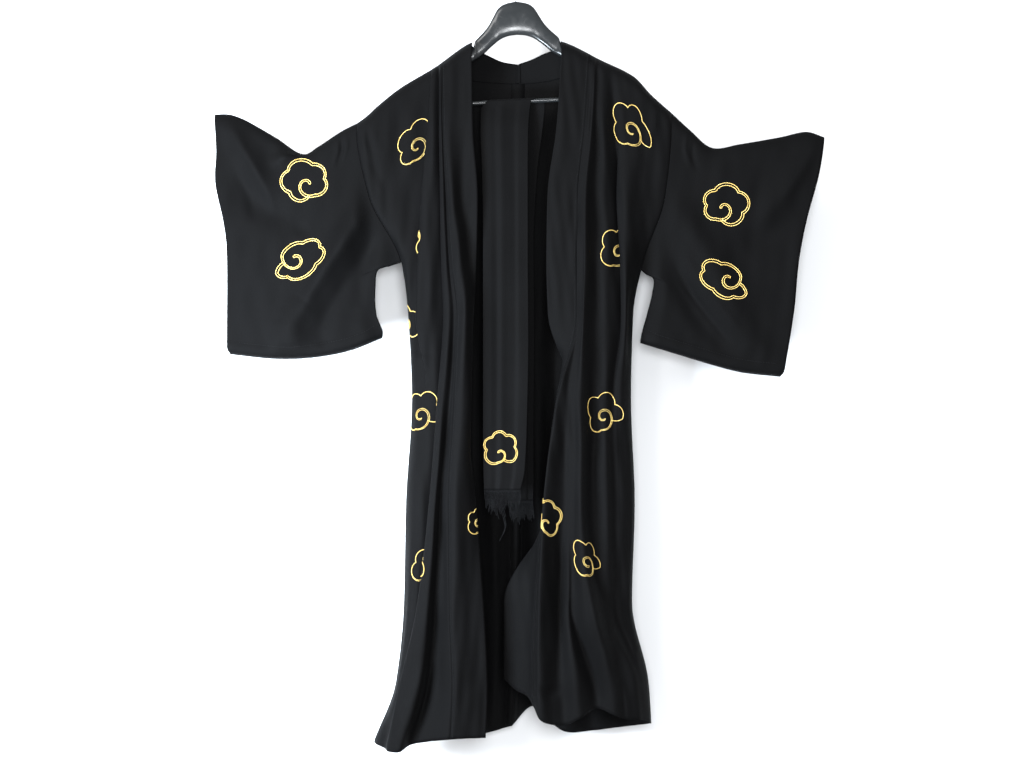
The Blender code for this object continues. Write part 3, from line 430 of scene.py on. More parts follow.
BACK_CREASES = (
    ("left shoulder pull", 2.6, 14, ((-190, 250), (-170, 340), (-120, 470))),
    ("right shoulder pull", 2.4, 14, ((200, 240), (176, 340), (130, 480))),
    ("left blade hollow", -3.0, 16, ((-110, 300), (-84, 420), (-60, 560))),
    ("right blade hollow", -3.2, 16, ((120, 290), (96, 420), (70, 560))),
    ("seat swell", 3.0, 22, ((-30, 620), (-34, 720), (-20, 830))),
    ("left drape", 2.8, 12, ((-170, 700), (-150, 860), (-158, 1020))),
    ("right drape", 3.0, 12, ((150, 720), (158, 880), (150, 1040))),
    ("left hem wave", 3.6, 11, ((-180, 1240), (-168, 1340), (-186, 1440))),
    ("middle hem wave", -3.4, 12, ((30, 1220), (20, 1320), (12, 1430))),
    ("right hem wave", 3.4, 12, ((170, 1230), (184, 1320), (190, 1420))),
    ("left armhole gather", 2.4, 5, ((-284, 300), (-270, 350), (-240, 400))),
    ("right armhole gather", 2.4, 5, ((276, 290), (262, 340), (236, 400))),
    ("left underarm pull", 3.2, 9, ((-258, 500), (-226, 560), (-200, 640))),
    ("right underarm pull", 3.0, 9, ((272, 520), (244, 580), (220, 660))),
)
SWELL = 0.9
SWELL_WAVES = 9
SWELL_ACROSS, SWELL_DOWN = (20, 55), (120, 420)
SWELL_SEEDS = {"left": 3, "right": 5}
STILL_BELOW_TOP, STILL_COLUMNS = 40, 4   # over which creases fade in from a seam


def near_line(x, drop, line):
    """Distance from points to a broken line, and the share of the line passed there."""
    best, share = np.full(x.shape, 1e9), np.zeros(x.shape)
    pieces = len(line) - 1
    for i in range(pieces):
        (ax, ad), (bx, bd) = line[i], line[i + 1]
        ux, ud = bx - ax, bd - ad
        t = np.clip(((x - ax) * ux + (drop - ad) * ud) / (ux * ux + ud * ud), 0, 1)
        d = np.hypot(x - ax - t * ux, drop - ad - t * ud)
        share = np.where(d < best, (i + t) / pieces, share)
        best = np.minimum(best, d)
    return best, share


def crease(x, drop, height, half_width, line, ends=0.0):
    """Height of one crease at places on the cloth: round across, fading to its ends."""
    d, share = near_line(x, drop, along(line, np.linspace(0, 1, 9)))
    taper = ends + (1 - ends) * np.sin(math.pi * np.clip(share, 0, 1)) ** 0.8
    return height * taper * np.exp(-(d / half_width) ** 2)


def swell(x, drop, seed):
    """Faint uneven waves, long down the cloth and short across it."""
    rng = np.random.default_rng(seed)
    total = np.zeros(x.shape)
    for _ in range(SWELL_WAVES):
        across, down = rng.uniform(*SWELL_ACROSS), rng.uniform(*SWELL_DOWN)
        phase = rng.uniform(0, 2 * math.pi)
        lean = rng.choice((-1, 1))
        total += np.sin(2 * math.pi * (x / across + lean * drop / down) + phase)
    return SWELL * total / math.sqrt(SWELL_WAVES)


def edge_fade(half, points):
    """Nothing moves at the shoulder line or at a seam's edge, so neighbours still meet."""
    rows = np.clip((-points[:, :, 2] + points[:, :1, 2]) / STILL_BELOW_TOP, 0, 1)
    fade = np.ones(points.shape[:2]) * rows
    for first, last in half.columns.values():
        for c in range(first, last + 1):
            steps = min(c - first, last - c)
            fade[c] *= min(1, steps / STILL_COLUMNS)
    return fade


for side, half in halves.items():
    points = body[side]
    x, drop = points[:, :, 0], -points[:, :, 2]
    first_back = half.columns["back"][0]
    push = np.zeros(x.shape)
    for _, height, width, first, last, line in FRONT_CREASES[side]:
        on = ((half.folds >= first) & (half.folds <= last))[:, None] * np.ones(x.shape)
        on[first_back:] = 0
        push -= on * crease(x, drop, height, width, line)
    for _, height, width, line in BACK_CREASES:
        on = np.zeros(x.shape)
        on[first_back:] = 1
        push += on * crease(x, drop, height, width, line)
    front_way = np.where(np.arange(len(half.folds)) < first_back, -1, 1)[:, None]
    push += front_way * swell(x, drop, SWELL_SEEDS[side])
    points[:, :, 1] += push * edge_fade(half, points)
print("creases", sum(len(c) for c in FRONT_CREASES.values()) + len(BACK_CREASES))

# %% [markdown]
# ## Black crepe
# Crepe is woven from hard-twisted yarn, which leaves a fine pebbled face: it
# takes light dully, with a soft sheen where it turns away. The pebbles are far
# finer than the mesh, so they are a bump made of noise. The same grain is used on
# the robe, the sash and the fringe, so it is a node group, built once, with the
# size and depth of its grain as inputs.

# %% Grain group and cloth materials


def new_group(name, inputs, outputs):
    """An empty shader node group with named number inputs and outputs."""
    group = bpy.data.node_groups.new(name, "ShaderNodeTree")
    for label, value in inputs:
        socket = group.interface.new_socket(label, in_out="INPUT", socket_type="NodeSocketFloat")
        socket.default_value = value
    for label in outputs:
        group.interface.new_socket(label, in_out="OUTPUT", socket_type="NodeSocketFloat")
    return group, group.nodes.new("NodeGroupInput"), group.nodes.new("NodeGroupOutput")


def node(tree, kind, operation=None, **values):
    """A node with some of its sockets set by name or by number."""
    made = tree.nodes.new(kind)
    if operation:
        made.operation = operation
    for key, value in values.items():
        label = int(key[1:]) if key[1:].isdigit() else key.replace("_", " ")
        socket = made.inputs[label]
        socket.default_value = value
    return made


def crepe_grain():
    """Pebbled height and an uneven tone, both from 0 to 1."""
    sizes = (("Grain Size", 900.0), ("Cloud Size", 9.0))
    group, given, out = new_group("crepe_grain", sizes, ("Height", "Tone"))
    link = group.links.new
    place = node(group, "ShaderNodeTexCoord")
    pebble = node(group, "ShaderNodeTexNoise", Detail=3.0, Roughness=0.6)
    cell = node(group, "ShaderNodeTexVoronoi", Randomness=1.0)
    cloud = node(group, "ShaderNodeTexNoise", Detail=4.0, Roughness=0.55)
    mix = node(group, "ShaderNodeMath", "MULTIPLY_ADD", s1=0.6)
    for texture, size in ((pebble, "Grain Size"), (cell, "Grain Size"), (cloud, "Cloud Size")):
        link(place.outputs["Object"], texture.inputs["Vector"])
        link(given.outputs[size], texture.inputs["Scale"])
    link(pebble.outputs["Fac"], mix.inputs[0])
    link(cell.outputs["Distance"], mix.inputs[2])
    link(mix.outputs[0], out.inputs["Height"])
    link(cloud.outputs["Fac"], out.inputs["Tone"])
    return group


GRAIN = crepe_grain()


def crepe(name, dark, light, depth, roughness, sheen):
    """A cloth material: two near blacks mixed by the tone, grain as bump, and sheen."""
    material = bpy.data.materials.new(name)
    material.use_nodes = True
    tree = material.node_tree
    shader = tree.nodes["Principled BSDF"]
    grain = tree.nodes.new("ShaderNodeGroup")
    grain.node_tree = GRAIN
    colour = tree.nodes.new("ShaderNodeMix")
    colour.data_type = "RGBA"
    colour.inputs["A"].default_value = (*dark, 1)
    colour.inputs["B"].default_value = (*light, 1)
    rough = node(tree, "ShaderNodeMapRange")
    rough.inputs["To Min"].default_value = roughness - 0.06
    rough.inputs["To Max"].default_value = roughness + 0.08
    bump = node(tree, "ShaderNodeBump", Strength=0.6, Distance=depth)
    link = tree.links.new
    link(grain.outputs["Tone"], colour.inputs["Factor"])
    link(grain.outputs["Tone"], rough.inputs["Value"])
    link(grain.outputs["Height"], bump.inputs["Height"])
    link(colour.outputs["Result"], shader.inputs["Base Color"])
    link(rough.outputs["Result"], shader.inputs["Roughness"])
    link(bump.outputs["Normal"], shader.inputs["Normal"])
    shader.inputs["Sheen Weight"].default_value = sheen
    shader.inputs["Sheen Roughness"].default_value = 0.4
    shader.inputs["Sheen Tint"].default_value = (0.92, 0.95, 1.0, 1)
    shader.inputs["Specular IOR Level"].default_value = 0.04
    return material


CREPE = crepe("black_crepe", (0.0014, 0.0014, 0.0015), (0.0034, 0.0034, 0.0037), 0.0004, 0.68, 0.008)
SASH_CREPE = crepe("black_sash_crepe", (0.0015, 0.0015, 0.0016), (0.0036, 0.0036, 0.0039),
                   0.0004, 0.68, 0.008)
print("cloth materials", CREPE.name, SASH_CREPE.name)

# %% [markdown]
# ## Sewing the body pieces
# A panel is one sheet of the grid with a Solidify modifier for the cloth's
# thickness, which goes inwards, so the outer face stays on the solids' face.
# The collar band also runs up behind the neck to the centre back: its first rows
# lie on short straight lines from its top edge down to the neck seam.

# %% Cloth pieces
CLOTH_THICK = 1.1
# top edge's across, drop and backward, and where its lower edge is across
NECK_BAND = {
    "left": ((-80, 141, 12, -141), (-74, 145, 26, -125), (-62, 150, 36, -101), (-44, 158, 42, -68),
             (-22, 167, 45, -32), (7.85, 172, 46, 7.85)),
    "right": ((88, 139, 12, 147), (84, 142, 26, 130), (72, 147, 34, 106), (54, 154, 37, 74),
              (32, 164, 39, 40), (8.15, 172, 41, 8.15)),
}
NECK_LAP = 3.0            # the band's lower edge lies this far down inside the panel
NECK_IN = 1.5
NECK_ROWS = 26
sheets = {}


def grid_normals(points, side, ring=False):
    """Outward normals of a grid of points."""
    normal = np.cross(directions(points, 0), directions(points, 1, ring))
    if side == "right":
        normal = -normal
    return normal / (np.linalg.norm(normal, axis=2)[:, :, None] + 1e-12)


def cloth(name, points, side, material, node_name, ring=False):
    """A sheet on a grid, thickened inwards, in place of its solid."""
    n, m = points.shape[:2]
    index = np.arange(n * m).reshape(n, m)
    after = np.roll(index, -1, axis=1) if ring else index[:, 1:]
    here = index if ring else index[:, :-1]
    a, b, c, d = here[:-1], after[:-1], after[1:], here[1:]
    order = (a, d, c, b) if side == "left" else (a, b, c, d)
    faces = np.stack([q.ravel() for q in order], axis=1)
    data = bpy.data.meshes.new(name)
    data.from_pydata((points.reshape(-1, 3) * MM).tolist(), [], faces.tolist())
    data.materials.append(material)
    data.shade_smooth()
    piece = bpy.data.objects.new(name, data)
    bpy.context.scene.collection.objects.link(piece)
    thick = piece.modifiers.new("thickness", "SOLIDIFY")
    thick.thickness = CLOTH_THICK * MM
    thick.offset = -1
    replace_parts(piece, node_name)
    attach(piece, "root")
    normals = grid_normals(points, side, ring)
    sheets[name] = {"points": points, "normals": normals, "piece": piece, "side": side}


def behind_neck(side, half, points):
    """The collar band's rows behind the neck, from the centre back to the shoulder line."""
    first, last = half.columns["back"]
    seam = points[first:last + 1, 0]
    order = np.argsort(seam[:, 0])
    rows = along([row[:3] + (row[3],) for row in NECK_BAND[side]], np.linspace(1, 0, NECK_ROWS))
    width = half.columns["band"][1] + 1
    made = []
    for across, drop, back, low in rows:
        y = np.interp(low, seam[order, 0], seam[order, 1]) - NECK_IN
        z = np.interp(low, seam[order, 0], seam[order, 2]) - NECK_LAP
        made.append(np.linspace((across, back, -drop), (low, y, z), width))
    return np.array(made).transpose(1, 0, 2)


for side, half in halves.items():
    points = body[side]
    for part in ("front", "back"):
        first, last = half.columns[part]
        cloth(f"{part}_panel_{side}", points[first:last + 1], side, CREPE, f"{part}_{side}")
    face = points[:half.columns["band"][1] + 1].copy()
    face[:, 0, 1] = 0
    band = np.concatenate([behind_neck(side, half, points), face], axis=1)
    cloth(f"collar_band_{side}", band, side, CREPE, f"collar_{side}")
print("cloth pieces", sorted(sheets))

# %% [markdown]
# ## Seam allowances
# Panels are sewn with a margin that lies inside, pressed flat. The panels here
# end at their seam lines, so each margin is its own narrow strip on the inner
# side, from one panel to the next. Without it, light from behind would show
# through the seams as bright lines.

# %% Seam margins
MARGIN_IN = 1.4           # from the cloth's face to the strip, past its thickness
MARGIN_THICK = 0.4
MARGIN_COLUMNS = 3        # of the grid, on each side of a band seam


def margin(name, lines, inward):
    """A strip of cloth on four lines of points, moved inwards."""
    grid = np.stack([line + way * MARGIN_IN for line, way in zip(lines, inward)])
    n, m = grid.shape[:2]
    index = np.arange(n * m).reshape(n, m)
    corners = (index[:-1, :-1], index[1:, :-1], index[1:, 1:], index[:-1, 1:])
    faces = np.stack([q.ravel() for q in corners], axis=1)
    data = bpy.data.meshes.new(name)
    data.from_pydata((grid.reshape(-1, 3) * MM).tolist(), [], faces.tolist())
    data.materials.append(CREPE)
    data.shade_smooth()
    piece = bpy.data.objects.new(name, data)
    bpy.context.scene.collection.objects.link(piece)
    thick = piece.modifiers.new("thickness", "SOLIDIFY")
    thick.thickness = MARGIN_THICK * MM
    thick.offset = 0
    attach(piece, "root")


body_normals = {side: grid_normals(points, side) for side, points in body.items()}
for side, half in halves.items():
    seam = half.columns["band"][1]
    picks = (seam - MARGIN_COLUMNS, seam, seam + 1, seam + 1 + MARGIN_COLUMNS)
    margin(f"margin_band_{side}", [body[side][c, 2:] for c in picks],
           [-body_normals[side][c, 2:] for c in picks])
last = {side: half.columns["back"][1] for side, half in halves.items()}
picks = (("left", -2), ("left", 0), ("right", 0), ("right", -2))
margin("margin_centre", [body[s][last[s] + c, 1:] for s, c in picks],
       [-body_normals[s][last[s] + c, 1:] for s, c in picks])
neck = {side: sheets[f"collar_band_{side}"]["points"] for side in halves}
picks = (("left", 1), ("left", 0), ("right", 0), ("right", 1))
margin("margin_neck", [neck[s][1:-1, c] for s, c in picks],
       [np.tile((0.0, -1.0, 0.0), (len(neck[s]) - 2, 1)) for s, c in picks])

# %% [markdown]
# ## The sleeves
# A kimono sleeve is a flat rectangle folded at its top edge. Its upper half is
# sewn to the body, and below the arm it hangs free and open. Here the front and
# the back layer are grids between the armhole and the cuff, joined at the top
# and bottom folds into one ring. The corner of each sleeve is held up, so the
# cloth falls in slanting folds from the corner and towards the underarm.

# %% Sleeve outlines and folds, in millimetres
SLEEVES = {
    "left": {
        "top": ((-323, 304), (-367, 333), (-395, 348), (-449, 316), (-513, 280), (-537, 273)),
        "cuff": ((-562, 273), (-558, 344), (-560, 402), (-545, 474), (-539, 520), (-538, 718)),
        "bottom": ((-248, 694), (-310, 718), (-380, 731), (-449, 733), (-538, 724)),
        "free": ((-237, 558), (-256, 566), (-261, 596), (-259, 649), (-247, 682)),
    },
    "right": {
        "top": ((331, 303), (372, 336), (425, 329), (500, 316), (551, 306)),
        "cuff": ((583, 316), (572, 385), (549, 472), (534, 547), (525, 641), (506, 760)),
        "bottom": ((237, 703), (312, 726), (368, 743), (425, 758), (505, 767)),
        "free": ((250, 574), (262, 582), (260, 610), (250, 650), (241, 682)),
    },
}
# name, height, half width, (across, drop) along it
SLEEVE_FOLDS = {
    "left": (
        ("pull to the body", 16, 26, ((-262, 400), (-292, 462), (-342, 545), (-392, 625))),
        ("hang to the bottom", 12, 28, ((-392, 625), (-418, 665), (-414, 725))),
        ("underarm hollow", -10, 22, ((-256, 470), (-280, 560), (-296, 640))),
        ("pull from the corner", 9, 20, ((-540, 290), (-500, 350), (-450, 440))),
        ("cuff hollow", -9, 28, ((-520, 400), (-480, 440), (-420, 470))),
        ("shoulder fold", 10, 12, ((-390, 350), (-420, 352), (-445, 362))),
    ),
    "right": (
        ("pull to the body", 13, 28, ((300, 440), (350, 520), (400, 620), (440, 700))),
        ("underarm hollow", -9, 20, ((285, 520), (310, 585), (345, 650), (400, 715))),
        ("pull from the corner", 9, 22, ((560, 330), (520, 390), (470, 470))),
        ("cuff hollow", -8, 30, ((530, 470), (480, 500), (430, 520))),
    ),
}
# Finer creases, on the front layer and, for the last ones, on the hidden back layer
SLEEVE_CREASES = {
    "left": {
        "front": (
            ("sharp pull", 5.0, 12, ((-270, 452), (-325, 528), (-376, 604), (-408, 668))),
            ("dark side of the pull", -6.0, 16, ((-252, 492), (-306, 572), (-350, 650), (-376, 706))),
            ("corner ridge", 3.2, 7, ((-532, 296), (-500, 350), (-474, 396), (-450, 452))),
            ("corner hollow", -3.4, 10, ((-522, 380), (-500, 420), (-488, 470))),
            ("dimple", -3.0, 13, ((-410, 480), (-398, 490), (-384, 486))),
            ("top edge fold", 3.0, 5, ((-397, 354), (-418, 352), (-442, 362))),
            ("armhole gather one", 2.6, 4, ((-318, 306), (-312, 330), (-322, 362))),
            ("armhole gather two", 2.4, 4, ((-334, 316), (-330, 342), (-340, 372))),
            ("armhole gather three", -2.4, 4, ((-326, 310), (-322, 340), (-332, 368))),
            ("bottom wave", 2.6, 13, ((-452, 660), (-446, 700), (-440, 730))),
            ("bottom hollow", -2.4, 12, ((-360, 680), (-356, 710), (-352, 728))),
        ),
        "back": (
            ("pull from the shoulder", 3.6, 12, ((-330, 340), (-400, 470), (-470, 640))),
            ("elbow hollow", -3.4, 16, ((-380, 400), (-430, 520), (-440, 640))),
            ("cuff fold", 3.0, 11, ((-520, 330), (-505, 450), (-515, 640))),
            ("underarm pull", 3.0, 9, ((-270, 520), (-310, 600), (-330, 690))),
        ),
    },
    "right": {
        "front": (
            ("diagonal crease", -4.6, 7, ((300, 548), (330, 604), (368, 656), (404, 700))),
            ("diagonal ridge", 3.4, 9, ((312, 520), (350, 590), (396, 650), (430, 690))),
            ("corner ridge", 3.0, 9, ((566, 330), (540, 380), (500, 440))),
            ("soft hollow", -2.8, 15, ((470, 360), (450, 440), (440, 540))),
            ("sleeve softness", 2.4, 14, ((390, 350), (380, 450), (400, 560))),
            ("cuff wave", 2.6, 11, ((536, 480), (524, 560), (516, 660))),
            ("armhole gather one", 2.4, 4, ((328, 306), (320, 336), (330, 372))),
            ("armhole gather two", -2.2, 4, ((340, 316), (334, 348), (344, 380))),
            ("bottom wave", 2.6, 12, ((470, 700), (466, 730), (462, 756))),
        ),
        "back": (
            ("pull from the shoulder", 3.6, 12, ((330, 340), (396, 470), (470, 650))),
            ("elbow hollow", -3.2, 16, ((380, 400), (420, 530), (430, 660))),
            ("cuff fold", 3.0, 12, ((548, 360), (526, 480), (508, 660))),
            ("underarm pull", 3.0, 9, ((270, 540), (310, 620), (330, 700))),
        ),
    },
}
SLEEVE_HALF_GAP = 13.0
FREE_EDGE_GAP = 7.8
SLEEVE_LOW_TURN = 14.0
FOLD_FADE = 30.0
SEWN_IN = 0.12
SLEEVE_COLUMNS = 72
FREE_ROWS = 44
SLEEVE_HEM = 24.0         # height of the turned hem at the bottom
HEM_STEP = 1.1
HEM_EDGE, HEM_LOW_FADE = 1.5, 4      # heights over which the hem's step comes and goes
FOLD_ENDS = 0.35          # share of a fold's height left at its ends
COLUMN_SPREAD = 1.25      # columns stand closer by the armhole
SLEEVE_SWELL_SEEDS = {"left": 11, "right": 13}


def fold_heights(side, layer, x, drop):
    """All folds of one layer of a sleeve."""
    total = np.zeros(x.shape)
    for _, height, width, line in SLEEVE_FOLDS[side]:
        d, share = near_line(x, drop, along(line, np.linspace(0, 1, 9)))
        taper = FOLD_ENDS + (1 - FOLD_ENDS) * np.sin(math.pi * np.clip(share, 0, 1))
        total += height * taper * np.exp(-(d / width) ** 2)
    way = 1 if layer == "front" else -1
    for _, height, width, line in SLEEVE_CREASES[side][layer]:
        total += way * crease(x, drop, height, width, line, ends=0.15)
    return total + 0.5 * way * swell(x * 0.6, drop * 1.8, SLEEVE_SWELL_SEEDS[side])


def sleeve_layer(side, half, points, layer):
    """Front or back layer: columns from the armhole to the cuff, rows from top to bottom."""
    outline, way = SLEEVES[side], -1 if side == "left" else 1
    edge = half.columns["front"][1] if layer == "front" else half.columns["back"][0]
    free = along(outline["free"] + (outline["bottom"][0],), np.linspace(0, 1, FREE_ROWS + 1))
    sewn = points[edge, :ARM_ROWS]
    inner = np.vstack([np.stack([sewn[:, 0] + way * SEAM_GAP, -sewn[:, 2]], axis=1), free])
    u = np.linspace(0, 1, SLEEVE_COLUMNS + 1) ** COLUMN_SPREAD
    top = along((tuple(inner[0]),) + outline["top"] + (outline["cuff"][0],), u)
    bottom = along(outline["bottom"], u)
    bottom[-1] = outline["cuff"][-1]
    height = inner[-1, 1] - inner[0, 1]
    t = np.maximum.accumulate((inner[:, 1] - inner[0, 1]) / height)
    share = t * height / (outline["cuff"][-1][1] - outline["cuff"][0][1])
    rounded = t[len(ROWS_ROUND) - 1]
    mix = np.clip((t - rounded) / (1 - rounded), 0, 1)
    cuff = along(outline["cuff"], share * (1 - mix) + t * mix)
    s, t2 = u[:, None, None], t[None, :, None]
    between = (1 - t2) * top[:, None] + t2 * bottom[:, None]
    bulge_in = inner - ((1 - t)[:, None] * inner[0] + t[:, None] * inner[-1])
    bulge_out = cuff - ((1 - t)[:, None] * cuff[0] + t[:, None] * cuff[-1])
    flat = between + (1 - s) ** 4 * bulge_in[None] + s ** 2 * bulge_out[None]
    x, drop = flat[..., 0], flat[..., 1]
    from_top, from_low = drop - drop[:, :1], drop[:, -1:] - drop
    sign = -1 if layer == "front" else 1
    gap = SLEEVE_HALF_GAP * round_off(from_top / SHOULDER_ROUND) * round_off(from_low / SLEEVE_LOW_TURN)
    fade = np.clip(np.minimum(from_top, from_low) / FOLD_FADE, 0, 1)
    y = sign * gap - fold_heights(side, layer, x, drop) * fade
    in_hem = np.clip((SLEEVE_HEM - from_low) / HEM_EDGE, 0, 1) * np.clip(from_low / HEM_LOW_FADE, 0, 1)
    y += sign * HEM_STEP * in_hem
    free_y = sign * FREE_EDGE_GAP * round_off(from_low[0, ARM_ROWS:] / SLEEVE_LOW_TURN)
    first = np.concatenate([sewn[:, 1], free_y])
    blend = np.clip(u / SEWN_IN, 0, 1)
    blend = (blend * blend * (3 - 2 * blend))[:, None]
    y = (1 - blend) * first + blend * y
    y[:, 0] = y[:, -1] = 0
    return np.stack([x, y, -drop], axis=2)


sleeve_layers = {}
for side, half in halves.items():
    front = sleeve_layer(side, half, body[side], "front")
    back = sleeve_layer(side, half, body[side], "back")
    sleeve_layers[side] = {"front": front, "back": back}
    ring = np.concatenate([front, back[:, -2:0:-1]], axis=1)
    cloth(f"kimono_sleeve_{side}", ring, side, CREPE, f"sleeve_{side}", ring=True)
print("sleeve grids", {side: layers["front"].shape[:2] for side, layers in sleeve_layers.items()})

# %% [markdown]
# ## The sash over the trouser bar
# The robe's own sash is one long band. It lies over the hanger's bar, and its two
# tails hang down inside the open front. It is a grid again: rows of a short table
# for each tail, a half turn round the bar between them, and soft lengthwise folds
# that fade in and out, because a hung band never keeps one fold all the way.

# %% Sash
HANGER_TILT = math.radians(2.4)
BAR_DROP, BAR_RADIUS, CLOTH_WALL = 249.0, 4.0, 1.4
SASH_OVER_BAR = (-54, 32)
# drop, left edge, right edge, forward
FRONT_TAIL = ((262, -62, 30, 7), (300, -63, 27, 14), (380, -60, 26, 19), (520, -58, 26, 22),
              (700, -58, 27, 23), (860, -58, 24, 24), (940, -57, 20, 24), (978, -56, 12, 24))
REAR_TAIL = ((262, -30, 58, -7), (300, -28, 54, -10), (380, -20, 44, -12), (520, -14, 37, -13),
             (700, -12, 38, -13), (860, -12, 37, -13), (960, -12, 37, -13), (1000, -11, 36, -13))
# share of the width, height
SASH_FOLDS = ((0.0, 0.0), (0.16, 0.5), (0.3, -0.9), (0.42, 1.7), (0.56, 0.2), (0.7, -0.8),
              (0.8, 1.1), (1.0, 0.0))
# height, length across, length down, phase
SASH_WAVES = ((0.7, 17, 140, 0), (0.5, 9, -90, 2))
REAR_FOLD_SHARE = 0.7
SASH_COLUMNS = 64
TAIL_ROWS = 150
WRAP_ROWS = 22


def tail_rows(table, share, bump, way):
    """One tail's rows from the bar down: way is -1 in front and 1 behind."""
    drops, left, right, forward = (np.array(column, float) for column in zip(*table))
    rows = []
    for drop in np.linspace(drops[0], drops[-1], TAIL_ROWS):
        x0, x1 = steady(drop, drops, left), steady(drop, drops, right)
        x = x0 + share * (x1 - x0)
        soft = sum(h * np.sin(x / across + drop / down + phase) for h, across, down, phase in SASH_WAVES)
        depth = steady(drop, drops, forward)
        y = -depth - bump - soft if way < 0 else -depth + REAR_FOLD_SHARE * bump + soft
        rows.append(np.stack([x, y, np.full(x.shape, -drop)], axis=1))
    return rows


def sash_rows():
    share = np.linspace(0, 1, SASH_COLUMNS + 1)
    bump = steady(share, *zip(*SASH_FOLDS))
    radius = BAR_RADIUS + SEAM_GAP + CLOTH_WALL
    wrap = []
    for i in range(WRAP_ROWS + 1):
        turn = i / WRAP_ROWS
        left = SASH_OVER_BAR[0] * (1 - turn) + REAR_TAIL[0][1] * turn
        right = SASH_OVER_BAR[1] + (REAR_TAIL[0][2] - SASH_OVER_BAR[1]) * turn
        x = left + share * (right - left)
        middle = -BAR_DROP / math.cos(HANGER_TILT) + math.tan(HANGER_TILT) * x
        y = -radius * math.cos(math.pi * turn)
        z = middle + radius * math.sin(math.pi * turn)
        wrap.append(np.stack([x, np.full(x.shape, y), z], axis=1))
    front = tail_rows(FRONT_TAIL, share, bump, -1)[::-1]
    return np.array(front + wrap + tail_rows(REAR_TAIL, share, bump, 1))


sash_grid = sash_rows()
cloth("sash_band", sash_grid, "right", SASH_CREPE, "sash")
middle_line = sash_grid[:, SASH_COLUMNS // 2]
print("sash length", round(float(np.linalg.norm(np.diff(middle_line, axis=0), axis=1).sum())), "mm")

# %% [markdown]
# ## Thread: a twist for cord, fringe and stitches
# Cord is two strands wound round each other. At this size the winding is a
# slanted ripple on a thin tube. A tube is made round a list of points with a
# given up direction, a little flatter than it is wide, as cord pressed onto cloth
# is. One node group gives the ripple to every thread material.

# %% Thread helpers


def twist_group():
    """Slanted ripple of wound fibres, and a slow change of tone."""
    group, given, out = new_group("thread_twist", (("Ripple Size", 700.0),), ("Height", "Tone"))
    link = group.links.new
    place = node(group, "ShaderNodeTexCoord")
    ripple = node(group, "ShaderNodeTexWave", Distortion=3.0, Detail=2.0, Detail_Scale=2.0)
    ripple.bands_direction = "DIAGONAL"
    tone = node(group, "ShaderNodeTexNoise", Scale=60.0, Detail=2.0)
    link(place.outputs["Object"], ripple.inputs["Vector"])
    link(place.outputs["Object"], tone.inputs["Vector"])
    link(given.outputs["Ripple Size"], ripple.inputs["Scale"])
    link(ripple.outputs["Fac"], out.inputs["Height"])
    link(tone.outputs["Fac"], out.inputs["Tone"])
    return group


TWIST = twist_group()


def thread(name, dark, light, metallic, roughness):
    """A thread material with the twist as bump and two tones of one colour."""
    material = bpy.data.materials.new(name)
    material.use_nodes = True
    tree = material.node_tree
    shader = tree.nodes["Principled BSDF"]
    twist = tree.nodes.new("ShaderNodeGroup")
    twist.node_tree = TWIST
    colour = tree.nodes.new("ShaderNodeMix")
    colour.data_type = "RGBA"
    colour.inputs["A"].default_value = (*dark, 1)
    colour.inputs["B"].default_value = (*light, 1)
    bump = node(tree, "ShaderNodeBump", Strength=0.7, Distance=0.0003)
    tree.links.new(twist.outputs["Tone"], colour.inputs["Factor"])
    tree.links.new(twist.outputs["Height"], bump.inputs["Height"])
    tree.links.new(colour.outputs["Result"], shader.inputs["Base Color"])
    tree.links.new(bump.outputs["Normal"], shader.inputs["Normal"])
    shader.inputs["Metallic"].default_value = metallic
    shader.inputs["Roughness"].default_value = roughness
    shader.inputs["Specular IOR Level"].default_value = 0.5 if metallic else 0.1
    return material


GOLD = thread("gold_thread", (0.72, 0.43, 0.07), (1.0, 0.80, 0.30), 0.25, 0.34)
BLACK_THREAD = thread("black_thread", (0.0040, 0.0041, 0.0045), (0.0095, 0.0100, 0.0110), 0.0, 0.6)


def tube(mesh, points, ups, width, height, sides=6):
    """A closed tube along points, resting on the side away from its up directions."""
    points, ups = np.asarray(points, float), np.asarray(ups, float)
    along_it = np.gradient(points, axis=0)
    along_it /= np.linalg.norm(along_it, axis=1)[:, None] + 1e-12
    across = np.cross(along_it, ups)
    across /= np.linalg.norm(across, axis=1)[:, None] + 1e-12
    rings = []
    for p, up, side_way in zip(points, ups, across):
        ring = []
        for k in range(sides):
            turn = 2 * math.pi * k / sides
            ring.append(mesh.verts.new((p + side_way * math.cos(turn) * width / 2
                                        + up * (math.sin(turn) * 0.5 + 0.42) * height) * MM))
        rings.append(ring)
    for a, b in zip(rings, rings[1:]):
        for k in range(sides):
            j = (k + 1) % sides
            mesh.faces.new((a[k], a[j], b[j], b[k]))
    mesh.faces.new(rings[0][::-1])
    mesh.faces.new(rings[-1])


def piece_of(name, mesh, material):
    """A finished mesh as a shown piece that rides with the robe."""
    bmesh.ops.recalc_face_normals(mesh, faces=mesh.faces[:])
    data = bpy.data.meshes.new(name)
    mesh.to_mesh(data)
    mesh.free()
    data.materials.append(material)
    data.shade_smooth()
    piece = bpy.data.objects.new(name, data)
    bpy.context.scene.collection.objects.link(piece)
    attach(piece, "root")
    return piece


print("thread materials", GOLD.name, BLACK_THREAD.name)

# %% [markdown]
# ## The fringe
# The sash's ends are drawn into strands, each knotted at the top and wound from
# two plies, and they hang a little unevenly. Every strand is two thin tubes wound
# round one line, under a knot. The lines sway together, so neighbours stay apart,
# and their lengths differ: one long thread hangs far below the rest.

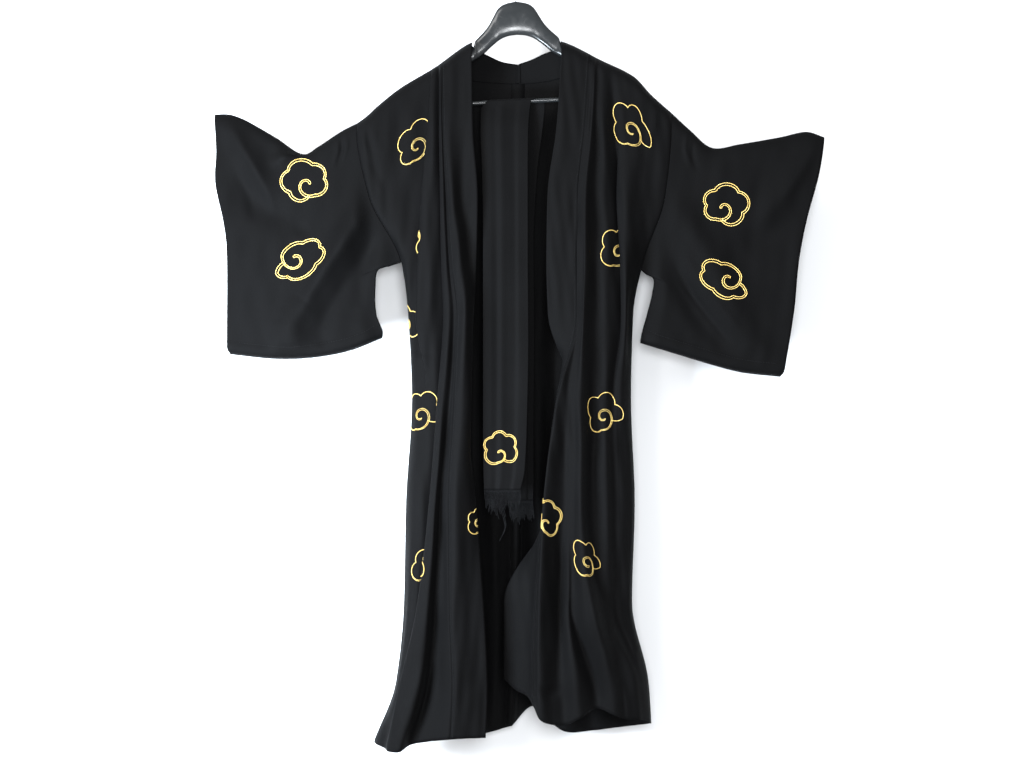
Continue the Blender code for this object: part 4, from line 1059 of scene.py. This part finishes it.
# %% Fringe
STRAND_SWAY, SWAY_LENGTH, SWAY_TURN = 0.09, 14.0, 0.42
FRINGE_BACKING = 4.0
FRINGE_LENGTHS = {
    "front": (34, 22, 40, 28, 46, 30, 58, 26, 110, 34, 24, 42, 30, 20, 36, 26, 18),
    "rear": (30, 24, 36, 28, 40, 26, 34, 44, 28, 36, 24, 32, 38, 26, 30),
}
STRANDS_EACH = 2          # strands for each one of the solids
PLY_STEPS = 26
PLY_TURN = 3.4            # millimetres for one turn of the ply
PLY_APART, PLY_WIDE, KNOT_RADIUS = 0.34, 0.62, 0.95
THIRD_SHORTER = 0.86      # every third strand
LONG_THREAD, OTHERS_MOST = 100, 54.0


def fringe(name, edge, way, lengths, node_name):
    """Knotted strands below a tail's end."""
    mesh = bmesh.new()
    count = len(lengths) * STRANDS_EACH
    run = np.linspace(0, 1, len(edge))
    for i in range(count):
        share = (i + 0.5) / count
        root = np.array([np.interp(share, run, edge[:, k]) for k in range(3)])
        root[1] -= way * CLOTH_THICK / 2
        number = share * len(lengths) - 0.5
        total = np.interp(number, np.arange(len(lengths)), lengths) * (1 if i % 3 else THIRD_SHORTER)
        if max(lengths) > LONG_THREAD and int(number + 0.5) != int(np.argmax(lengths)):
            total = min(total, OTHERS_MOST)
        turn = SWAY_TURN * number
        depth = np.linspace(0, FRINGE_BACKING + total, PLY_STEPS)
        sway = STRAND_SWAY * depth * np.sin(turn + depth / SWAY_LENGTH)
        line = np.stack([root[0] + sway, root[1] + 0.25 * np.cos(turn) * depth / 12, root[2] - depth], axis=1)
        for ply in (0, math.pi):
            wind = 2 * math.pi * depth / PLY_TURN + ply
            wound = line + PLY_APART * np.stack([np.cos(wind), np.sin(wind), 0 * wind], axis=1)
            ups = np.tile((0.0, -1.0, 0.0), (PLY_STEPS, 1))
            tube(mesh, wound, ups, PLY_WIDE, PLY_WIDE, sides=4)
        knot = bmesh.ops.create_icosphere(mesh, subdivisions=1, radius=KNOT_RADIUS * MM)
        bmesh.ops.translate(mesh, verts=knot["verts"], vec=Vector(line[2] * MM))
    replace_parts(piece_of(name, mesh, BLACK_THREAD), node_name)


fringe("fringe_front", sash_grid[0], -1, FRINGE_LENGTHS["front"], "sash_fringe_front")
fringe("fringe_rear", sash_grid[-1], 1, FRINGE_LENGTHS["rear"], "sash_fringe_rear")
print("fringe strands", STRANDS_EACH * sum(len(v) for v in FRINGE_LENGTHS.values()))

# %% [markdown]
# ## The hanger
# A moulded suit hanger is one thick piece of glossy plastic, domed at the top,
# with drooping arms and lugs for a bar. It is lofted from a short table of
# sections, mirrored and tilted about its hook, with far more rings than the solid,
# because gloss shows every flat facet. The bar and the wire hook are plain rods.

# %% Hanger
# across, drop of the top, drop of the underside, half depth
HANGER = ((0, 61, 124, 8), (12, 63, 125, 8), (24, 66.5, 128, 8), (34, 74, 133, 8), (42, 87, 139, 7.5),
          (52, 104, 147, 7.5), (62, 116, 156, 7.5), (74, 127.5, 164, 7.5), (79, 133, 167, 8),
          (82, 143, 169, 8), (88, 148, 172, 8), (104, 158, 183, 9), (150, 181.5, 208, 10.5),
          (182, 200.5, 228, 11.5), (186, 202.5, 256, 11.5), (206, 212.5, 257, 11.5),
          (214, 216.5, 248, 10.5), (221, 221, 241, 8), (225, 227, 235, 3.5))
HANGER_RING = 40
HANGER_SQUARE = 0.72
HANGER_STEPS = 5
BAR_END = 184.0
HOOK_WIRE = 2.0
HOOK_ROUTE = ((0, -60.6), (0, -52), (3, -46), (10, -39), (16.5, -30), (19, -18), (16.5, -8.5), (10, -1.5),
              (0, 2), (-10, -1), (-17, -9), (-19, -19), (-16.5, -29))


def tilted(x, y, z):
    """Level hanger frame to the hung one, turned about the hook."""
    c, s = math.cos(HANGER_TILT), math.sin(HANGER_TILT)
    return np.array((x * c - z * s, y, x * s + z * c))


def hanger_stations():
    """The table mirrored, with steps between its rows."""
    half = np.array(HANGER, float)
    spans = zip(half[:-1, 0], half[1:, 0])
    at = np.concatenate([np.linspace(a, b, HANGER_STEPS, endpoint=False) for a, b in spans])
    at = np.append(at, half[-1, 0])
    rows = np.stack([at] + [steady(at, half[:, 0], half[:, k]) for k in (1, 2, 3)], axis=1)
    mirror = rows[:0:-1].copy()
    mirror[:, 0] *= -1
    return np.vstack([mirror, rows])


def plastic_material():
    """Dark grey moulded plastic: glossy, with faint handling marks and a fine scratch bump."""
    group, given, out = new_group("handling_marks", (("Mark Size", 45.0),), ("Rough", "Height"))
    link = group.links.new
    place = node(group, "ShaderNodeTexCoord")
    smear = node(group, "ShaderNodeTexNoise", Detail=5.0, Roughness=0.65, Distortion=0.8)
    scratch = node(group, "ShaderNodeTexNoise", Scale=420.0, Detail=2.0)
    spread = node(group, "ShaderNodeMapRange")
    spread.inputs["From Min"].default_value = 0.35
    spread.inputs["From Max"].default_value = 0.75
    spread.inputs["To Min"].default_value = 0.16
    spread.inputs["To Max"].default_value = 0.34
    link(place.outputs["Object"], smear.inputs["Vector"])
    link(place.outputs["Object"], scratch.inputs["Vector"])
    link(given.outputs["Mark Size"], smear.inputs["Scale"])
    link(smear.outputs["Fac"], spread.inputs["Value"])
    link(spread.outputs["Result"], out.inputs["Rough"])
    link(scratch.outputs["Fac"], out.inputs["Height"])
    material = bpy.data.materials.new("hanger_plastic")
    material.use_nodes = True
    tree = material.node_tree
    shader = tree.nodes["Principled BSDF"]
    marks = tree.nodes.new("ShaderNodeGroup")
    marks.node_tree = group
    bump = node(tree, "ShaderNodeBump", Strength=0.05, Distance=0.0002)
    tree.links.new(marks.outputs["Rough"], shader.inputs["Roughness"])
    tree.links.new(marks.outputs["Height"], bump.inputs["Height"])
    tree.links.new(bump.outputs["Normal"], shader.inputs["Normal"])
    shader.inputs["Base Color"].default_value = (0.012, 0.0135, 0.0145, 1)
    shader.inputs["Specular IOR Level"].default_value = 0.32
    return material


def steel_material():
    """Bright wire, drawn through a die, so its roughness changes a little along it."""
    material = bpy.data.materials.new("hook_steel")
    material.use_nodes = True
    tree = material.node_tree
    shader = tree.nodes["Principled BSDF"]
    streak = node(tree, "ShaderNodeTexNoise", Scale=300.0, Detail=3.0)
    rough = node(tree, "ShaderNodeMapRange")
    rough.inputs["To Min"].default_value = 0.18
    rough.inputs["To Max"].default_value = 0.36
    tree.links.new(streak.outputs["Fac"], rough.inputs["Value"])
    tree.links.new(rough.outputs["Result"], shader.inputs["Roughness"])
    shader.inputs["Base Color"].default_value = (0.62, 0.62, 0.62, 1)
    shader.inputs["Metallic"].default_value = 1.0
    return material


def round_rod(name, points, radius, material, node_name, sides=24):
    """A plain rod in place of its solid."""
    mesh = bmesh.new()
    rings = []
    way = np.gradient(np.asarray(points, float), axis=0)
    for p, t in zip(points, way / np.linalg.norm(way, axis=1)[:, None]):
        side_way = np.array((0.0, 1.0, 0.0))
        up = np.cross(t, side_way)
        rings.append([mesh.verts.new((p + radius * (math.cos(a) * side_way + math.sin(a) * up)) * MM)
                      for a in np.linspace(0, 2 * math.pi, sides, endpoint=False)])
    for a, b in zip(rings, rings[1:]):
        for k in range(sides):
            j = (k + 1) % sides
            mesh.faces.new((a[k], a[j], b[j], b[k]))
    mesh.faces.new(rings[0])
    mesh.faces.new(rings[-1])
    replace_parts(piece_of(name, mesh, material), node_name)


def hanger_shell():
    """The moulded body, lofted through its stations."""
    mesh = bmesh.new()
    rings = []
    for x, top, under, depth in hanger_stations():
        middle, half = -(top + under) / 2, (under - top) / 2
        ring = []
        for k in range(HANGER_RING):
            angle = 2 * math.pi * k / HANGER_RING
            c, s = math.cos(angle), math.sin(angle)
            y = depth * math.copysign(abs(c) ** HANGER_SQUARE, c)
            z = middle + half * math.copysign(abs(s) ** HANGER_SQUARE, s)
            ring.append(mesh.verts.new(tilted(x, y, z) * MM))
        rings.append(ring)
    for a, b in zip(rings, rings[1:]):
        for k in range(HANGER_RING):
            j = (k + 1) % HANGER_RING
            mesh.faces.new((a[k], a[j], b[j], b[k]))
    mesh.faces.new(rings[0])
    mesh.faces.new(rings[-1])
    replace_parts(piece_of("hanger_shell", mesh, PLASTIC), "hanger_body")


PLASTIC, STEEL = plastic_material(), steel_material()
hanger_shell()
round_rod("trouser_bar", [tilted(x, 0, -BAR_DROP) for x in np.linspace(-BAR_END, BAR_END, 9)],
          BAR_RADIUS, PLASTIC, "hanger_bar")
hook_line = along(HOOK_ROUTE, np.linspace(0, 1, 72))
round_rod("wire_hook", [tilted(x, 0, z) for x, z in hook_line], HOOK_WIRE, STEEL, "hanger_hook")
print("hanger rings", len(hanger_stations()))

# %% [markdown]
# ## Gold clouds
# Each cloud is one length of doubled gold cord, laid on the cloth and stitched
# down: a row of uneven lobes whose line passes its own start and curls inwards to
# a hook. On the sleeves the two cords lie apart all the way; on the body they
# touch, and part only in the curl. The motif is worked out from lobes and a
# curl, each cloud with its own seed. It is laid along the cloth itself, over its
# folds, so a fold that lies over it hides part of it. A picture on the cloth
# would be quicker, but cord stands proud and catches light.

# %% Cloud motif
# degrees where the line starts and goes round, lobes and their depth, width by height,
# size of the curl, degrees of the curl, share of the size where the line starts,
# half gap in the lobes and in the curl, cord width
KINDS = {
    "round": (-105, 342, 5, 0.17, 1.12, 0.58, 300, 0.88, 2.0, 1.8, 1.4),
    "long": (150, 338, 5, 0.16, 1.6, 0.60, 330, 0.80, 2.0, 1.7, 1.4),
    "fine": (-40, 290, 4, 0.25, 0.98, 0.60, 425, 0.62, 0.25, 1.3, 0.75),
    "bold": (-75, 330, 5, 0.20, 1.0, 0.50, 250, 0.80, 1.4, 1.2, 1.2),
}
CORD_HIGH = 1.0
OUTLINE_STEPS = 130
CURL_STEPS = 60
CURL_CLOSES, CURL_END = 1.35, 0.11
TUCK_OVER = 0.08          # share of the line over which it comes out of its start
PART_FROM, PART_OVER = 0.86, 0.2     # where the two cords part, as shares of the edge
GAP_UNEVEN = 0.16


def cloud_line(kind, seed, radius, side):
    """One of a cloud's two cords, flat: lobes round the edge, then a curl inwards."""
    start, sweep, lobes, depth, stretch, curl, curl_turn, tuck, gap, curl_gap, _ = KINDS[kind]
    rng = np.random.default_rng(seed)
    share = rng.uniform(0.8, 1.25, lobes)
    ends = np.concatenate([[0], np.cumsum(share) / share.sum()])
    s = np.linspace(0, 1, OUTLINE_STEPS)
    lobe = np.clip(np.searchsorted(ends, s, side="right") - 1, 0, lobes - 1)
    inside = np.clip((s - ends[lobe]) / (ends[lobe + 1] - ends[lobe]), 0, 1)
    r = radius * (0.99 - depth + depth * share[lobe] ** 0.5 * np.sin(math.pi * inside) ** 0.75)
    r = r * (tuck + (1 - tuck) * np.clip(s / TUCK_OVER, 0, 1) ** 0.7)
    turn = np.radians(start + sweep * s)
    outline = np.stack([stretch ** 0.5 * r * np.cos(turn), stretch ** -0.5 * r * np.sin(turn)], axis=1)
    end = outline[-1]
    middle = end * (1 - curl * radius / np.linalg.norm(end))
    u = np.linspace(0, 1, CURL_STEPS)[1:]
    reach = curl * radius * (1 - u) ** CURL_CLOSES + CURL_END * radius * u
    winding = math.atan2(end[1] - middle[1], end[0] - middle[0]) + np.radians(curl_turn) * u
    wound = middle + reach[:, None] * np.stack([np.cos(winding), np.sin(winding)], axis=1)
    line = np.vstack([outline, wound])
    way = np.gradient(line, axis=0)
    way /= np.linalg.norm(way, axis=1)[:, None] + 1e-9
    past = np.arange(len(line)) - OUTLINE_STEPS * PART_FROM
    part = np.clip(past / (OUTLINE_STEPS * PART_OVER), 0, 1)
    apart = gap + (curl_gap - gap) * part
    phase = rng.uniform(0, 6)
    apart = apart * (1 + GAP_UNEVEN * np.sin(np.arange(len(line)) / 9 + phase))
    apart[-6:] *= np.linspace(1, 0.2, 6)
    return line + side * apart[:, None] * np.stack([-way[:, 1], way[:, 0]], axis=1)


sample = cloud_line("round", 1, 40, 1)
print("cloud line", sample.min(axis=0).round(1), sample.max(axis=0).round(1))

# %% [markdown]
# ## Laying the cord on the cloth
# A place on a sheet is found by its column and row. From the grid point nearest
# to the cloud's middle the cloth is measured outwards, along its columns and its
# rows, so a distance on the motif is a distance on the cloth, also round a fold.
# Where the motif runs past a sheet's edge, the cord stops, as it does at a seam.

# %% Cords on sheets
# sheet, across, drop, radius, turned by degrees, 1 or -1 for mirrored, kind, seed, layer,
# and the first and last fold that its middle may lie on
CLOUDS = (
    ("sleeve_left", -393, 400, 42, 0, -1, "round", 11, "front", None),
    ("sleeve_left", -399, 549, 41, 32, 1, "long", 12, "front", None),
    ("sleeve_right", 395, 443, 41, 0, 1, "round", 13, "front", None),
    ("sleeve_right", 393, 586, 39, -32, -1, "long", 14, "front", None),
    ("sleeve_left", -420, 450, 41, 10, 1, "round", 15, "back", None),
    ("sleeve_left", -380, 610, 39, -16, -1, "long", 16, "back", None),
    ("sleeve_right", 420, 440, 41, -8, -1, "round", 17, "back", None),
    ("sleeve_right", 380, 610, 39, 18, 1, "long", 18, "back", None),
    ("front_left", -178, 329, 43, 0, 1, "fine", 21, "front", (10.3, 12)),
    ("front_left", -144, 509, 40, 10, 1, "fine", 22, "front", (10.0, 11)),
    ("front_left", -214, 669, 34, 0, -1, "fine", 23, "front", (11, 12)),
    ("front_left", -173, 833, 43, 0, 1, "fine", 24, "front", (7.6, 12)),
    ("front_left", -155, 1116, 37, -6, 1, "fine", 25, "front", (7.2, 9)),
    ("collar_left", -58, 1034, 26, 10, 1, "fine", 26, "front", None),
    ("front_right", 222, 299, 46, 4, 1, "fine", 31, "front", None),
    ("front_right", 198, 532, 43, -6, 1, "fine", 32, "front", (9.5, 11)),
    ("front_right", 167, 833, 41, 8, 1, "fine", 33, "front", None),
    ("front_right", 62, 1028, 34, -10, -1, "bold", 34, "front", None),
    ("front_right", 139, 1108, 38, 4, 1, "fine", 35, "front", None),
    ("back_left", -150, 400, 42, 8, 1, "fine", 41, "back", None),
    ("back_left", -90, 640, 42, -12, 1, "fine", 42, "back", None),
    ("back_left", -160, 900, 41, 10, 1, "fine", 43, "back", None),
    ("back_left", -80, 1160, 42, -6, 1, "fine", 44, "back", None),
    ("back_right", 150, 500, 42, 6, 1, "fine", 45, "back", None),
    ("back_right", 90, 780, 41, -10, 1, "fine", 46, "back", None),
    ("back_right", 160, 1040, 42, 12, 1, "fine", 47, "back", None),
    ("back_right", 90, 1290, 40, 0, 1, "fine", 48, "back", None),
    ("sash", -26, 903, 33, 4, 1, "bold", 51, "front", None),
    ("sash", 12, 880, 33, -6, 1, "bold", 52, "back", None),
)
SHEET_OF = {
    "sleeve_left": "kimono_sleeve_left", "sleeve_right": "kimono_sleeve_right",
    "front_left": "front_panel_left", "front_right": "front_panel_right",
    "back_left": "back_panel_left", "back_right": "back_panel_right",
    "collar_left": "collar_band_left", "sash": "sash_band",
}

OUTER_LAYER = 3.0         # how much a layer that stands further out is preferred
SLANT_STEPS = 6
EDGE_KEEP = 0.4           # cord stops this near to a sheet's edge


class Cloth:
    """Measures distances along a sheet's grid."""

    def __init__(self, points, normals):
        self.points, self.normals = points, normals
        across = np.linalg.norm(np.diff(points, axis=0), axis=2)
        down = np.linalg.norm(np.diff(points, axis=1), axis=2)
        self.across = np.vstack([np.zeros(points.shape[1]), np.cumsum(across, axis=0)])
        self.down = np.hstack([np.zeros((points.shape[0], 1)), np.cumsum(down, axis=1)])

    def nearest(self, x, drop, outward, columns):
        """Grid place nearest to a point of the view, on the outermost layer of some columns."""
        p = self.points[columns]
        away = (p[..., 0] - x) ** 2 + (p[..., 2] + drop) ** 2 - OUTER_LAYER * outward * p[..., 1]
        column, row = np.unravel_index(np.argmin(away), away.shape)
        return columns[column], row

    def place(self, start, a, b, flat):
        """Point and normal across and up from a grid place, or None past an edge.

        On a flat sheet the slant of its columns and rows is taken out in a few steps."""
        origin = self.points[start]
        across, up = a, b
        for _ in range(SLANT_STEPS if flat else 1):
            spot = self.step(start, across, up)
            if spot is None:
                return None
            across += a - (spot[0][0] - origin[0])
            up += b - (spot[0][2] - origin[2])
        return spot

    def step(self, start, a, b):
        """Point and normal at a distance along the grid's rows and columns."""
        c0, r0 = start
        run = self.down[c0, r0] - b
        column = self.down[c0]
        if not EDGE_KEEP < run < column[-1] - EDGE_KEEP:
            return None
        row = float(np.interp(run, column, np.arange(len(column))))
        low, part = int(row), row - int(row)
        high = min(low + 1, self.points.shape[1] - 1)
        level = self.across[:, low] * (1 - part) + self.across[:, high] * part
        reach = level[c0] + a
        if not EDGE_KEEP < reach < level[-1] - EDGE_KEEP:
            return None
        col = float(np.interp(reach, level, np.arange(len(level))))
        left, share = int(col), col - int(col)
        right = min(left + 1, self.points.shape[0] - 1)
        mixed = []
        for grid in (self.points, self.normals):
            above = grid[left, low] * (1 - share) + grid[right, low] * share
            below = grid[left, high] * (1 - share) + grid[right, high] * share
            mixed.append(above * (1 - part) + below * part)
        return mixed[0], mixed[1] / (np.linalg.norm(mixed[1]) + 1e-12)


def on_view_side(sheet, layer):
    """The grid of a sheet with columns running to the picture's right, and its outward normals."""
    data = sheets[SHEET_OF[sheet]]
    points, normals = data["points"], data["normals"]
    if sheet.startswith("sleeve"):
        side = data["side"]
        rows = sleeve_layers[side]["front"].shape[1]
        points = points[:, :rows] if layer == "front" else np.concatenate(
            [points[:, :1], points[:, :rows - 2:-1]], axis=1)
        normals = normals[:, :rows] if layer == "front" else np.concatenate(
            [normals[:, :1], normals[:, :rows - 2:-1]], axis=1)
    if sheet == "sash":
        points = points[:TAIL_ROWS][::-1] if layer == "front" else points[-TAIL_ROWS:]
        normals = normals[:TAIL_ROWS][::-1] if layer == "front" else normals[-TAIL_ROWS:]
        points, normals = points.transpose(1, 0, 2), normals.transpose(1, 0, 2)
    if points[0, :, 0].mean() > points[-1, :, 0].mean():
        points, normals = points[::-1], normals[::-1]
    return points, normals


def columns_on(sheet, folds, points):
    """Column numbers of a sheet that lie between two folds, or all of them."""
    if folds is None:
        return np.arange(len(points))
    half = halves[sheet.split("_")[1]]
    first, last = half.columns["front"]
    at = half.folds[first:last + 1]
    on = np.flatnonzero((at >= folds[0]) & (at <= folds[1]))
    return len(at) - 1 - on if sheet == "front_left" else on


clouds = {}
for sheet, x, drop, radius, turned, mirrored, kind, seed, layer, folds in CLOUDS:
    points, normals = on_view_side(sheet, layer)
    outward = -1 if layer == "front" else 1
    towards = (normals[..., 1] * outward).mean()
    cloth_face = Cloth(points, normals if towards > 0 else -normals)
    start = cloth_face.nearest(x, drop, outward, columns_on(sheet, folds, points))
    mesh = clouds.setdefault(sheet, bmesh.new())
    c, s = math.cos(math.radians(turned)), math.sin(math.radians(turned))
    for cord_side in (-1, 1):
        flat = cloud_line(kind, seed, radius, cord_side) * (mirrored, 1) @ np.array(((c, s), (-s, c)))
        runs = [[]]
        for a, b in flat:
            spot = cloth_face.place(start, -outward * a, b, sheet.startswith("sleeve"))
            if spot is None:
                runs.append([])
            else:
                runs[-1].append(spot)
        for run in runs:
            if len(run) > 4:
                tube(mesh, [r[0] for r in run], [r[1] for r in run], KINDS[kind][-1], CORD_HIGH)
cloud_pieces = {sheet: piece_of(f"clouds_{sheet}", mesh, GOLD) for sheet, mesh in clouds.items()}
print("cloud pieces", {p.name: len(p.data.polygons) for p in cloud_pieces.values()})

# %% [markdown]
# ## Stitches
# The sleeves' turned hems are held by a row of small stitches, and the collar
# bands are topstitched beside their seams. Each stitch is a short flat piece of
# black thread that dips into the cloth at both ends.

# %% Stitches
STITCH, STITCH_STEP = 3.2, 5.0
STITCH_WIDE, STITCH_HIGH = 0.8, 0.5
STITCH_SPOTS = np.array((0.0, 0.25, 0.75, 1.0))
STITCH_LIFT = np.array((-0.3, 0.15, 0.15, -0.3))     # it dips into the cloth at both ends
ROW_END = 2.0             # free of stitches at both ends of a row
LOW_TURN_SHARE = 0.57     # of the bottom turn's height, added along the cloth
BAND_ROW = 3              # columns from the band's seam to its row of stitches


def stitch_row(mesh, line, normal):
    """Short stitches along a line of points on the cloth."""
    run = np.concatenate([[0], np.cumsum(np.linalg.norm(np.diff(line, axis=0), axis=1))])
    for at in np.arange(ROW_END, run[-1] - STITCH - ROW_END, STITCH_STEP):
        spots = at + STITCH * STITCH_SPOTS
        p = np.stack([np.interp(spots, run, line[:, k]) for k in range(3)], axis=1)
        n = np.stack([np.interp(spots, run, normal[:, k]) for k in range(3)], axis=1)
        p = p + n * STITCH_LIFT[:, None]
        tube(mesh, p, n, STITCH_WIDE, STITCH_HIGH, sides=4)


def row_above_hem(points, normals, height):
    """The line at a height above a sheet's lowest row, column by column."""
    line, way = [], []
    for column, normal in zip(points, normals):
        run = np.concatenate([[0], np.cumsum(np.linalg.norm(np.diff(column, axis=0), axis=1))])
        at = run[-1] - height
        line.append([np.interp(at, run, column[:, k]) for k in range(3)])
        way.append([np.interp(at, run, normal[:, k]) for k in range(3)])
    return np.array(line), np.array(way)


stitches = {}
for side in halves:
    for layer in ("front", "back"):
        points, normals = on_view_side(f"sleeve_{side}", layer)
        outward = -1 if layer == "front" else 1
        normals = normals if (normals[..., 1] * outward).mean() > 0 else -normals
        mesh = stitches.setdefault(f"sleeve_{side}", bmesh.new())
        height = SLEEVE_HEM + SLEEVE_LOW_TURN * LOW_TURN_SHARE
        stitch_row(mesh, *row_above_hem(points[4:-3], normals[4:-3], height))
    data = sheets[f"collar_band_{side}"]
    column = data["points"].shape[0] - BAND_ROW
    mesh = stitches.setdefault(f"collar_{side}", bmesh.new())
    stitch_row(mesh, data["points"][column, 2:], data["normals"][column, 2:])
stitch_pieces = {key: piece_of(f"stitches_{key}", mesh, BLACK_THREAD) for key, mesh in stitches.items()}
print("stitch pieces", {p.name: len(p.data.polygons) for p in stitch_pieces.values()})

# %% [markdown]
# ## The studio
# The robe hangs a hand's width in front of a white sheet of paper, so its shadow
# falls softly to the right of each sleeve and below the hem. The key is a large
# lamp up on the left, a cooler fill stands by the camera, and a small bluish lamp
# low on the left lights the left sleeve. The paper lets views from behind
# through, so the robe's back can be looked at too.

# %% Studio
WALL_BACK = 0.125
KEY_AT, KEY_SIZE, KEY_POWER = (-1.6, -2.4, 1.1), 1.5, 100.0
FILL_AT, FILL_SIZE, FILL_POWER = (0.1, -3.4, -0.6), 0.8, 95.0
LOW_AT, LOW_SIZE, LOW_POWER = (-1.05, -1.0, -1.0), 0.5, 85.0
LOW_TARGET = (-0.5, 0, -0.62)
WORLD_LIGHT = 0.85


def paper_material():
    """White paper with a faint tooth, seen only from its front."""
    material = bpy.data.materials.new("white_paper")
    material.use_nodes = True
    tree = material.node_tree
    shader = tree.nodes["Principled BSDF"]
    tooth = node(tree, "ShaderNodeTexNoise", Scale=900.0, Detail=2.0)
    bump = node(tree, "ShaderNodeBump", Strength=0.02, Distance=0.0003)
    side = tree.nodes.new("ShaderNodeNewGeometry")
    clear = tree.nodes.new("ShaderNodeBsdfTransparent")
    both = tree.nodes.new("ShaderNodeMixShader")
    tree.links.new(tooth.outputs["Fac"], bump.inputs["Height"])
    tree.links.new(bump.outputs["Normal"], shader.inputs["Normal"])
    tree.links.new(side.outputs["Backfacing"], both.inputs["Fac"])
    tree.links.new(shader.outputs["BSDF"], both.inputs[1])
    tree.links.new(clear.outputs["BSDF"], both.inputs[2])
    tree.links.new(both.outputs["Shader"], tree.nodes["Material Output"].inputs["Surface"])
    shader.inputs["Base Color"].default_value = (0.74, 0.745, 0.755, 1)
    shader.inputs["Roughness"].default_value = 0.9
    return material


def paper(name, low, high):
    """An upright sheet of paper that faces the camera."""
    data = bpy.data.meshes.new(name)
    corners = [(low[0], WALL_BACK, low[1]), (high[0], WALL_BACK, low[1]),
               (high[0], WALL_BACK, high[1]), (low[0], WALL_BACK, high[1])]
    data.from_pydata(corners, [], [(0, 1, 2, 3)])
    data.materials.append(paper_material())
    wall = bpy.data.objects.new(name, data)
    bpy.context.scene.collection.objects.link(wall)


def lamp(name, at, size, power, colour, target=(0, 0, FRAME_MIDDLE[1])):
    """A square lamp that looks at a place, the middle of the robe if none is given."""
    data = bpy.data.lights.new(name, "AREA")
    data.size = size
    data.energy = power
    data.color = colour
    light = bpy.data.objects.new(name, data)
    light.location = at
    aim = Vector(target) - Vector(at)
    light.rotation_euler = aim.to_track_quat("-Z", "Y").to_euler()
    bpy.context.scene.collection.objects.link(light)
    return light


paper("paper_wall", (-3.0, -2.9), (3.0, 1.6))
key = lamp("key", KEY_AT, KEY_SIZE, KEY_POWER, (1.0, 0.985, 0.97))
fill = lamp("fill", FILL_AT, FILL_SIZE, FILL_POWER, (0.95, 0.975, 1.0))
low = lamp("low", LOW_AT, LOW_SIZE, LOW_POWER, (0.80, 0.90, 1.0), LOW_TARGET)
world = bpy.data.worlds.new("studio")
bpy.context.scene.world = world
world.use_nodes = True
world.node_tree.nodes["Background"].inputs["Color"].default_value = (0.97, 0.985, 1.0, 1)
world.node_tree.nodes["Background"].inputs["Strength"].default_value = WORLD_LIGHT
bpy.context.scene.view_settings.view_transform = "Standard"
print("lamps", key.name, fill.name, low.name, "world", WORLD_LIGHT)

# %% [markdown]
# ## What each cloth was cut to
# A sheet of cloth has a size before it is sewn. The sizes below are each panel's
# width and length flat on the table, measured along the cloth and not across
# the folds, and the area where the panel isn't a rectangle. Every panel is
# longer than it is wide, so the shorter measure comes first. What is stitched on
# a panel goes with it.

# %% Cloth cut


CUTS = {
    "front_panel_left": ("hung", "hanger_shell", ("clouds_front_left",)),
    "front_panel_right": ("hung", "hanger_shell", ("clouds_front_right",)),
    "back_panel_left": ("hung", "hanger_shell", ("clouds_back_left", "margin_centre")),
    "back_panel_right": ("hung", "hanger_shell", ("clouds_back_right",)),
    "collar_band_left": ("hung", "hanger_shell",
                         ("clouds_collar_left", "stitches_collar_left", "margin_band_left", "margin_neck")),
    "collar_band_right": ("hung", "hanger_shell", ("stitches_collar_right", "margin_band_right")),
    "kimono_sleeve_left": ("hung", "hanger_shell", ("clouds_sleeve_left", "stitches_sleeve_left")),
    "kimono_sleeve_right": ("hung", "hanger_shell", ("clouds_sleeve_right", "stitches_sleeve_right")),
    "sash_band": ("draped", "trouser_bar", ("clouds_sash", "fringe_front", "fringe_rear")),
}
for name, (held, rests_on, extras) in CUTS.items():
    data = sheets[name]
    across = np.linalg.norm(np.diff(data["points"], axis=0), axis=2).sum(axis=0) * MM
    down = np.linalg.norm(np.diff(data["points"], axis=1), axis=2).sum(axis=1) * MM
    flat = tuple(sorted((round(float(across.max()), 3), round(float(down.max()), 3))))
